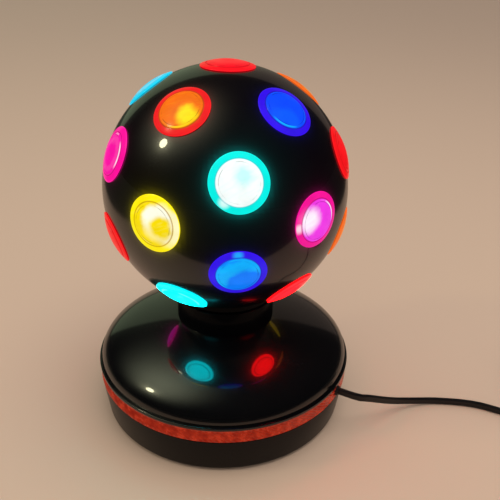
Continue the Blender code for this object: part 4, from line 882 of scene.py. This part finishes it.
bulb_glass, base = new_finish("clear_bulb_glass", srgb(250, 250, 246), 0.03, {"Transmission Weight": 1.0})
haze = base.speckle(50.0, 3.0)
feed(bulb_glass, "Roughness", 0.02 + 0.08 * haze)
feed(bulb_glass, "Base Color", haze.mix(srgb(236, 240, 238), srgb(252, 252, 250)))
finish_nodes(bulb_glass, "bulb_glass")


# Wiring
# White terminal block on the housing's floor, and three black insulated leads: from the mains
# cord to the block, from the block up the stem to the holder, and from the block to the motor.
finish_nodes(white_moulding, "terminal_block")
finish_nodes(vinyl, "supply_lead", "lamp_lead", "motor_lead")


# Top cover
# Glossy black moulding in one piece: a thin rim lip over the band, a full dome, and a neck
# up to the turning ball. Screw bosses and motor bosses hang inside it.
DOME_CROWN_HEIGHT = 66.6
DOME_FOOT = (84.7, 39.6)
DOME_SPREAD = 5 / 3
NECK_RADIUS = 32.5
NECK_INNER_RADIUS = 29.9
NECK_TOP = 83.5
NECK_FINISH_BOTTOM = 67.0 * MM
COVER_WALL = 2.4
BOSS_TOP = 63.4
COVER_BOSS = (4.2, 24.0, BOSS_TOP)
COVER_BORE = (1.9, 20.0, 36.3)
MOTOR_BOSS = (3.6, 49.2, BOSS_TOP)
MOTOR_BORE = (1.7, 45.0, 55.7)
MOTOR_BOSS_PLACES = [(x, y, 0.0) for x, y, _ in MOTOR_SCREWS]
RELIEF_SEAT = (5.2, 75.5, 81.8)


def dome_arc(inset, steps):
    """Curve in millimetres from the neck out to the foot, moved in by the inset and upright at the foot."""
    reach = DOME_FOOT[0] - NECK_RADIUS - inset
    climb = DOME_CROWN_HEIGHT - DOME_FOOT[1] - inset
    angles = [math.pi / 2 * i / steps for i in range(steps + 1)]
    return [(NECK_RADIUS + reach * math.sin(a) ** DOME_SPREAD, DOME_FOOT[1] + climb * math.cos(a), 0)
            for a in angles]


def cover_outline():
    inner = [point for point in reversed(dome_arc(COVER_WALL, 24)) if point[1] > 40.5]
    return filleted([
        (NECK_RADIUS, NECK_TOP, 0.5), *dome_arc(0.0, 48), (84.7, 38.35, 0), (84.95, 38.0, 0), (85.2, 38.1, 0),
        (86.4, 38.1, 0.5), (86.4, 35.9, 0.5), (81.5, 35.9, 0), (81.5, 31.9, 0.3), (79.5, 31.9, 0.3), *inner,
        (NECK_INNER_RADIUS, DOME_CROWN_HEIGHT - COVER_WALL, 0), (NECK_INNER_RADIUS, NECK_TOP, 0.5),
    ])


cover_bosses = tool_cylinders(COVER_BOSS, HOUSING_POSTS) + tool_cylinders(MOTOR_BOSS, MOTOR_BOSS_PLACES)
cover_cuts = tool_cylinders(COVER_BORE, HOUSING_POSTS) + tool_cylinders(MOTOR_BORE, MOTOR_BOSS_PLACES)
cover_cuts.append(cord_cylinder(RELIEF_SEAT, 48))
cover_mesh = carved(turned_mesh(cover_outline(), BASE_SEGMENTS), cover_bosses, cover_cuts)
smooth(cover_mesh)
cover_black = black_finish("cover_black", 0.4, 1.0)
neck_black = black_finish("neck_black", 0.05, 0.08)
add_piece("cover", cover_mesh, cover_black, "base", ["top_cover"])
cover_mesh.materials.append(neck_black)
for face in cover_mesh.polygons:
    if face.center.z > NECK_FINISH_BOTTOM:
        face.material_index = 1


# Cover screws
# Three long zinc-plated pan-head screws, driven up from below through the housing's posts into
# the cover's bosses. They hold the base together.
COVER_SCREW_SEAT = 13.7 * MM
cover_screws = [radial_point(HOUSING_POST_CIRCLE, angle, COVER_SCREW_SEAT) for angle in HOUSING_POST_ANGLES]
add_screws("cover_screws", cover_screws, (3.4, 2.4, 1.5, 22.0, 1.1), POINTS_UP,
           [f"cover_screw_{i + 1}" for i in range(len(cover_screws))])


# Rubber feet
# Four round black rubber pads pressed into seats under the housing, each with a rounded edge
# and fine rings underneath for grip.
FOOT_RADIUS = 6.0 * MM
FOOT_HEIGHT = 2.6 * MM
FOOT_PLACES = [radial_point(FOOT_CIRCLE, angle, FOOT_HEIGHT / 2) for angle in FOOT_ANGLES]


def foot_tree():
    """Round pads with a rounded lower edge and rings underneath, one round each given point."""
    tree, start, size = geometry_tree("rubber_feet", {
        "Places": "Geometry", "Radius": "Float", "Height": "Float", "Edge Round": "Float",
        "Ring Pitch": "Float", "Ring Depth": "Float", "Material": "Material",
    })
    x, y, z = start.node("GeometryNodeInputPosition").axes()
    radius = (x * x + y * y) ** 0.5
    pad = start.node("GeometryNodeMeshCylinder", {"fill_type": "TRIANGLE_FAN"}, {
        "Vertices": 40, "Side Segments": 1, "Fill Segments": 30, "Radius": size["Radius"],
        "Depth": size["Height"]})
    flat = size["Radius"] - size["Edge Round"]
    past = start.sum_of("MAXIMUM", radius - flat, 0.0)
    under_arc = start.sum_of("MAXIMUM", size["Edge Round"] * size["Edge Round"] - past * past, 0.0) ** 0.5
    ring = 0.5 - 0.5 * start.sum_of("COSINE", FULL_TURN * radius / size["Ring Pitch"])
    groove = size["Ring Depth"] * ring * start.sum_of("LESS_THAN", radius, flat - 0.1 * MM)
    rise = (size["Edge Round"] - under_arc + groove) * start.sum_of("LESS_THAN", z, 0.0)
    shaped = start.node("GeometryNodeSetPosition", {}, {"Geometry": pad, "Offset": start.vector(z=rise)})
    placed = start.node("GeometryNodeInstanceOnPoints", {}, {"Points": size["Places"], "Instance": shaped})
    close_output(start, placed, size["Material"])
    return tree


foot_rubber = mottled_finish("foot_rubber", srgb(22, 22, 23), srgb(38, 37, 38), 0.78, 1100.0, 0.12 * MM)
foot_mesh = baked_tree(foot_tree(), {
    "Radius": FOOT_RADIUS, "Height": FOOT_HEIGHT, "Edge Round": 0.6 * MM, "Ring Pitch": 1.5 * MM,
    "Ring Depth": 0.35 * MM, "Material": foot_rubber,
}, FOOT_PLACES)
smooth(foot_mesh)
add_piece("rubber_feet", foot_mesh, foot_rubber, "base", [f"foot_{i + 1}" for i in range(len(FOOT_PLACES))])


# Turntable
# Black moulding that carries the ball: a saucer with a lock spigot above and a hub with the
# driven gear below. It turns on the thrust washer, and only its rim shows.
finish_nodes(neck_black, "turntable")


# Ball
# One-piece glossy black shell with 26 round openings for the lenses, and a round mouth with
# three lock slots below. A painted glow in each lens's colour, for the light the lenses spill, lies on the
# gloss round each of them.
BALL_RADIUS = 75.0 * MM
BALL_WALL = 2.4 * MM
BALL_MOUTH_RADIUS = 27.0 * MM
BALL_SEGMENTS = 160
LENS_HOLE = (14.2, 60.0, 80.0)
LOCK_SLOT = (5.5, 80.0, 96.0)
LOCK_SLOT_CIRCLE = 26.0 * MM
LOCK_SLOT_COUNT = 3
LENS_RADIUS = 16.0 * MM
FIRST_AZIMUTH = math.radians(5.3)
LENS_RINGS = (
    (51.2, 0.5, ("blue", "orange", "magenta", "cyan", "orange")),
    (23.2, 0.0, ("cyan", "red", "blue", "yellow", "magenta")),
    (3.1, 0.5, ("magenta", "cyan", "orange", "blue", "yellow")),
    (-16.8, 0.0, ("blue", "orange", "magenta", "cyan", "red")),
    (-41.5, 0.54, ("red", "yellow", "blue", "magenta", "cyan")),
)
TINT_PARTS = ("ring", "disc", "hot", "side", "deep")
LENS_TINTS = {
    "red": ((242, 20, 32), (243, 18, 36), (255, 92, 84), (242, 20, 26), (236, 8, 12)),
    "orange": ((234, 30, 34), (238, 108, 16), (255, 224, 22), (236, 106, 26)),
    "yellow": ((255, 236, 8), (246, 220, 6), (255, 255, 232), (250, 186, 20)),
    "magenta": ((242, 12, 150), (238, 34, 228), (255, 244, 255), (250, 15, 153)),
    "blue": ((52, 16, 232), (12, 72, 252), (16, 192, 255), (44, 36, 232)),
    "cyan": ((4, 238, 228), (96, 246, 246), (248, 255, 254), (16, 200, 240), (2, 214, 226)),
}
LENS_COLOURS = {name: {part: srgb(*screen) for part, screen in zip(TINT_PARTS, tints)}
                for name, tints in LENS_TINTS.items()}
LENS_SPILL = {2: 0.4, 6: 0.6, 7: 1.15, 12: 0.85, 16: 1.0, 17: 0.5, 26: 0.45}
OTHER_SPILL = 0.25
SPILL_LEVEL = 0.09
SPILL_REACH = 0.35
SPILL_FALL = 0.022
SPILL_HALO_FALL = 0.12
SPILL_HALO_SHARE = 0.1


def lens_places():
    """Direction and colour of each lens: one at the top, then rings of five."""
    places = [(Vector((0.0, 0.0, 1.0)), "red")]
    for latitude, turn, colours in LENS_RINGS:
        tilt = math.radians(latitude)
        for i, colour in enumerate(colours):
            angle = FIRST_AZIMUTH + FULL_TURN * (i + turn) / len(colours) - math.pi / 2
            places.append((radial_point(math.cos(tilt), angle, math.sin(tilt)), colour))
    return places


def sphere_arc(radius, steps):
    """Points (radius, height) down a sphere round the ball's centre from its top to the mouth."""
    end = math.pi - math.asin(BALL_MOUTH_RADIUS / radius)
    return [(radius * math.sin(end * i / steps), BALL_CENTRE.z + radius * math.cos(end * i / steps))
            for i in range(steps + 1)]


LENSES = lens_places()
shell_outline = sphere_arc(BALL_RADIUS, 80) + list(reversed(sphere_arc(BALL_RADIUS - BALL_WALL, 40)))
lock_slots = [radial_point(LOCK_SLOT_CIRCLE, FULL_TURN * (i + 0.5) / LOCK_SLOT_COUNT)
              for i in range(LOCK_SLOT_COUNT)]
holes = [tool_cylinder(LENS_HOLE, BALL_CENTRE, direction, 64) for direction, _ in LENSES]
holes += tool_cylinders(LOCK_SLOT, lock_slots)
shell_mesh = carved(turned_mesh(shell_outline, BALL_SEGMENTS, closed=False), cuts=holes)


def round_normals(mesh):
    """Give the carved shell the true normals of its spheres, and leave the cut walls crisp."""
    mesh.shade_smooth()
    outer = BALL_RADIUS - 0.1 * MM
    inner = BALL_RADIUS - BALL_WALL + 0.1 * MM
    normals = [Vector()] * len(mesh.loops)
    for face in mesh.polygons:
        distances = [(mesh.vertices[i].co - BALL_CENTRE).length for i in face.vertices]
        for loop in face.loop_indices:
            radial = (mesh.vertices[mesh.loops[loop].vertex_index].co - BALL_CENTRE).normalized()
            if min(distances) > outer:
                normals[loop] = radial
            elif max(distances) < inner:
                normals[loop] = -radial
            else:
                normals[loop] = face.normal.copy()
    mesh.normals_split_custom_set(normals)


def add_spill(mesh):
    """Store the colour of the painted glow, for the light that the lenses spill, at each point of the shell.
    """
    stored = mesh.color_attributes.new("spill", "FLOAT_COLOR", "POINT")
    edge = math.asin(LENS_RADIUS / BALL_RADIUS)
    for vertex, spot in zip(mesh.vertices, stored.data):
        outward = (vertex.co - BALL_CENTRE).normalized()
        total = Vector((0.0, 0.0, 0.0))
        for number, (direction, colour) in enumerate(LENSES, 1):
            past = max(0.0, outward.angle(direction) - edge)
            if past < SPILL_REACH:
                reach = math.exp(-past / SPILL_FALL) + SPILL_HALO_SHARE * math.exp(-past / SPILL_HALO_FALL)
                strength = LENS_SPILL.get(number, OTHER_SPILL) * reach
                total += Vector(LENS_COLOURS[colour]["ring"][:3]) * strength
        spot.color = (*total, 1.0)


round_normals(shell_mesh)
add_spill(shell_mesh)
ball_gloss = black_finish("ball_gloss", 0.4, 1.0, {"Emission Strength": 1.0})
base = Value(ball_gloss.node_tree)
spill = base.node("ShaderNodeAttribute", {"attribute_name": "spill"})
# Painted glow: the shell emits the stored spill colour, with a faint wider halo.
feed(ball_gloss, "Emission Color",
     base.node("ShaderNodeVectorMath", {"operation": "SCALE"}, {0: spill, "Scale": SPILL_LEVEL}))
add_piece("shell", shell_mesh, ball_gloss, "ball", ["ball_shell"])


# Lenses
# Round tinted plastic lenses, each with a flat raised rim ring, a narrow groove and a crowned
# disc, pressed into the ball. Their glow is painted: the lamp shines straight through those at the front,
# shows in them as soft arcs, blots and glints, and lights the lowest ones most.
LENS_SEGMENTS = 96
LENS_CROWN = 77.2
LENS_FACE_CURVE = 42.0
DISC_SHARE = 12.2 / 16.0
LENS_GLOW_PEAK = 13.0
LOWEST_RING_GLOW = {22: 13.0, 23: 0.6, 24: 3.0, 25: 2.5, 26: 9.0}
DEEP_GLOW = 5.0
LENS_LIGHT = {
    1: dict(centre=(0.0, 0.1), curve=0.45, width=0.3, strength=0.15),
    2: dict(centre=(-0.4, -0.5), curve=0.3, width=0.5, strength=0.08, edge=(-0.65, -0.76)),
    6: dict(centre=(0.36, -0.2), curve=0.1, width=0.5, strength=1.0, edge=(0.5, -0.86), bleed=0.15),
    7: dict(centre=(0.15, 0.2), curve=0.7, width=1.1, strength=1.0, glint=(-0.5, -0.62), bleed=0.0,
            lift=0.55),
    11: dict(centre=(0.1, 0.0), curve=0.5, width=0.2, strength=0.04, edge=(0.98, 0.2), direct=0.1),
    12: dict(centre=(-0.44, 0.12), curve=0.0, width=0.75, strength=1.0, glint=(-0.86, -0.08),
             edge=(0.9, 0.4), bleed=0.12, lift=0.03),
    16: dict(centre=(0.34, -0.02), curve=0.56, width=0.36, strength=1.0, aim=(0.5, 0.85), bleed=0.65),
    17: dict(centre=(0.3, -0.45), curve=0.95, width=0.55, strength=0.8, glint=(-0.04, 0.86),
             edge=(0.0, 1.0), bleed=0.02, lift=0.3),
}


def lens_face(radius):
    """Height of the domed lens face above the ball's centre, in millimetres."""
    return LENS_CROWN - LENS_FACE_CURVE + math.sqrt(LENS_FACE_CURVE**2 - radius**2)


def lens_outline():
    """Half section of a lens: domed disc, double groove, rim ring with a thin edge, and spigot."""
    disc_radius = 11.9
    groove = (12.2, 12.6)
    groove_depth = 0.4
    ring_start = 12.9
    ring_end = 15.6
    disc_steps = 12
    ring_steps = 4
    disc = [disc_radius * i / disc_steps for i in range(disc_steps)]
    ring = [ring_start + (ring_end - ring_start) * i / ring_steps for i in range(ring_steps + 1)]
    return filleted([
        *[(radius, lens_face(radius), 0) for radius in disc],
        (disc_radius, lens_face(disc_radius), 0.2),
        *[(radius, lens_face(radius) - groove_depth, 0) for radius in groove],
        *[(radius, lens_face(radius), 0) for radius in ring],
        (16.0, lens_face(16.0) - 0.1, 0.3), (16.0, 73.57, 0.1), (13.9, 74.0, 0), (13.9, 70.4, 0.3),
        (0.0, 70.4, 0),
    ], steps=4)


def lens_light(number):
    """How the lamp shows in one lens: where its arc, edge light and glint lie, and how strong they are.

    The brightest of the lowest ring, which the dome mirrors, take a deeper colour.
    """
    draw = random.Random(number)
    light = dict(centre=(draw.uniform(-0.4, 0.4), draw.uniform(-0.4, 0.4)), curve=draw.uniform(0.1, 0.7),
                 width=draw.uniform(0.2, 0.4), strength=draw.uniform(0.0, 0.2), direct=0.1,
                 bleed=0.1, lift=0.0)
    if number in LENS_LIGHT:
        light.update({"direct": 1.0, **LENS_LIGHT[number]})
    if number in LOWEST_RING_GLOW:
        light.update(direct=0.4, strength=0.0)
    light["glow"] = LOWEST_RING_GLOW.get(number, 1.0)
    light["deep"] = float(light["glow"] > DEEP_GLOW)
    light["line"] = 0.75 / light["glow"]
    light["seed"] = draw.uniform(0.0, 50.0)
    for mark in ("centre", "glint", "edge", "aim"):
        light[f"{mark}_u"], light[f"{mark}_v"] = light.pop(mark, (0.0, 0.0))
    return light


def lens_mesh(number, direction):
    """One lens in its place, with a UV map across its face and its lighting stored as attributes."""
    mesh = turned_mesh(lens_outline(), LENS_SEGMENTS, closed=False)
    uv = mesh.uv_layers.new(name="face")
    for loop in mesh.loops:
        place = mesh.vertices[loop.vertex_index].co
        uv.data[loop.index].uv = (0.5 + 0.5 * place.x / LENS_RADIUS, 0.5 + 0.5 * place.y / LENS_RADIUS)
    for name, value in lens_light(number).items():
        stored = mesh.attributes.new(name, "FLOAT", "POINT")
        stored.data.foreach_set("value", [value] * len(mesh.vertices))
    if abs(direction.z) > 0.999:
        right = Vector((1.0, 0.0, 0.0))
    else:
        right = Vector((0.0, 0.0, 1.0)).cross(direction).normalized()
    turn = Matrix((right, direction.cross(right), direction)).transposed().to_4x4()
    mesh.transform(Matrix.Translation(BALL_CENTRE) @ turn)
    return mesh


def lens_finish(colour):
    """Polished tinted plastic with a painted glow for the lamp behind it: rim ring, disc with its arc of
    light, and side wall.
    """
    tint = LENS_COLOURS[colour]
    material, base = new_finish(f"{colour}_lens", tint["ring"], 0.2, {
        "Coat Weight": 0.03, "Coat Roughness": 0.02, "Specular IOR Level": 0.2,
        "Emission Strength": LENS_GLOW_PEAK})
    across, up, _ = base.node("ShaderNodeUVMap", {"uv_map": "face"}).axes()
    u = (across - 0.5) * 2.0
    v = (up - 0.5) * 2.0
    radius = (u * u + v * v) ** 0.5

    def stored(name):
        return base.node("ShaderNodeAttribute", {"attribute_name": name}, output=2)

    def most(first, second):
        return base.sum_of("MAXIMUM", first, second)

    def past_disc(low, high):
        """0 inside and 1 outside, with a soft step close to the disc's edge."""
        return radius.step(DISC_SHARE + low, DISC_SHARE + high)

    # Noise that differs from lens to lens. The last changes only round the lens.
    seed = stored("seed")
    ripple = base.speckle(1.7, 3.0, base.vector(u + seed, v, seed)) - 0.5
    swirl = base.speckle(2.6, 2.0, base.vector(v + seed, u, seed + 7.0)) - 0.5
    streak = base.speckle(2.2, 3.0, base.vector(u + seed, v * 4.0 - u * 2.0, seed)) - 0.5
    round_noise = base.speckle(1.3, 3.0, base.vector(u / radius, v / radius, seed))

    # The zones of the face, from the disc's edge outwards and inwards.
    ring = past_disc(-0.01, 0.02)
    line = past_disc(-0.09, -0.07) * (1.0 - past_disc(-0.03, -0.01))
    groove = past_disc(-0.02, 0.0) * (1.0 - past_disc(0.02, 0.05))
    inner_groove = past_disc(-0.12, -0.1) * (1.0 - past_disc(-0.09, -0.07))
    wall = radius.step(0.975, 0.99)

    # The lamp's arc on the disc, its light along the disc's edge, and its glint on the ring.
    arc_u = u - stored("centre_u") + 0.3 * ripple
    arc_v = v - stored("centre_v") + 0.3 * swirl
    off_arc = base.sum_of("ABSOLUTE", (arc_u * arc_u + arc_v * arc_v) ** 0.5 - stored("curve"))
    soft_arc = 1.0 - (off_arc / stored("width")).step(0.2, 0.85) + 0.3 * streak
    lit_side = (arc_u * stored("aim_u") + arc_v * stored("aim_v")).step(-0.75, 0.1)
    arc = most(soft_arc * stored("strength") * lit_side, stored("lift"))
    edge = ((u * stored("edge_u") + v * stored("edge_v")) / radius).step(0.7, 0.97)
    edge = most(edge, (0.6 - 0.5 * stored("direct")) * round_noise.step(0.52, 0.62))
    glint_u = u - stored("glint_u")
    glint_v = v - stored("glint_v")
    glint = 1.0 - ((glint_u * glint_u + glint_v * glint_v) ** 0.5 + 0.1 * ripple).step(0.05, 0.26)

    # The colour of each zone, then the painted shade in the grooves and the brightness of the whole.
    rim = stored("direct").mix(tint["side"], tint["ring"])
    rim_lit = most(arc * stored("bleed"), glint * 0.7).mix(rim, tint["hot"])
    disc = stored("direct").mix(tint["side"], tint["disc"])
    disc_lit = most(arc, line * edge * stored("line")).mix(disc, tint["hot"])
    plain = 1.0 - stored("lift")
    lit = (groove * 0.45 * plain).mix(ring.mix(disc_lit, rim_lit), tint["side"])
    lit = stored("deep").mix(wall.mix(lit, rim), tint.get("deep", tint["side"]))
    lit = (line * edge * stored("deep") * 0.05).mix(lit, tint["hot"])
    shade = most(groove * plain * (0.2 + 0.5 * round_noise),
                 inner_groove * round_noise.step(0.4, 0.6) * 0.45)
    shade = most(shade, groove * stored("deep") * 0.94)
    level = (0.9 + 0.4 * ripple) * (1.0 - shade) * (1.0 + (stored("glow") - 1.0) * (1.0 - wall))
    # Painted glow: the lamp's light through the lens, with its arcs, glints and groove shade, is emission.
    feed(material, "Emission Color", base.node("ShaderNodeVectorMath", {"operation": "SCALE"}, {
        0: lit, "Scale": level / LENS_GLOW_PEAK}))
    feed(material, "Base Color", (0.8 - 0.2 * wall).mix(lit, (0.0, 0.0, 0.0, 1.0)))
    return material


lens_finishes = {colour: lens_finish(colour) for colour in LENS_COLOURS}
for number, (direction, colour) in enumerate(LENSES, 1):
    add_piece(f"lens_{number:02d}_glass", lens_mesh(number, direction), lens_finishes[colour], "ball",
              [f"lens_{number:02d}"])
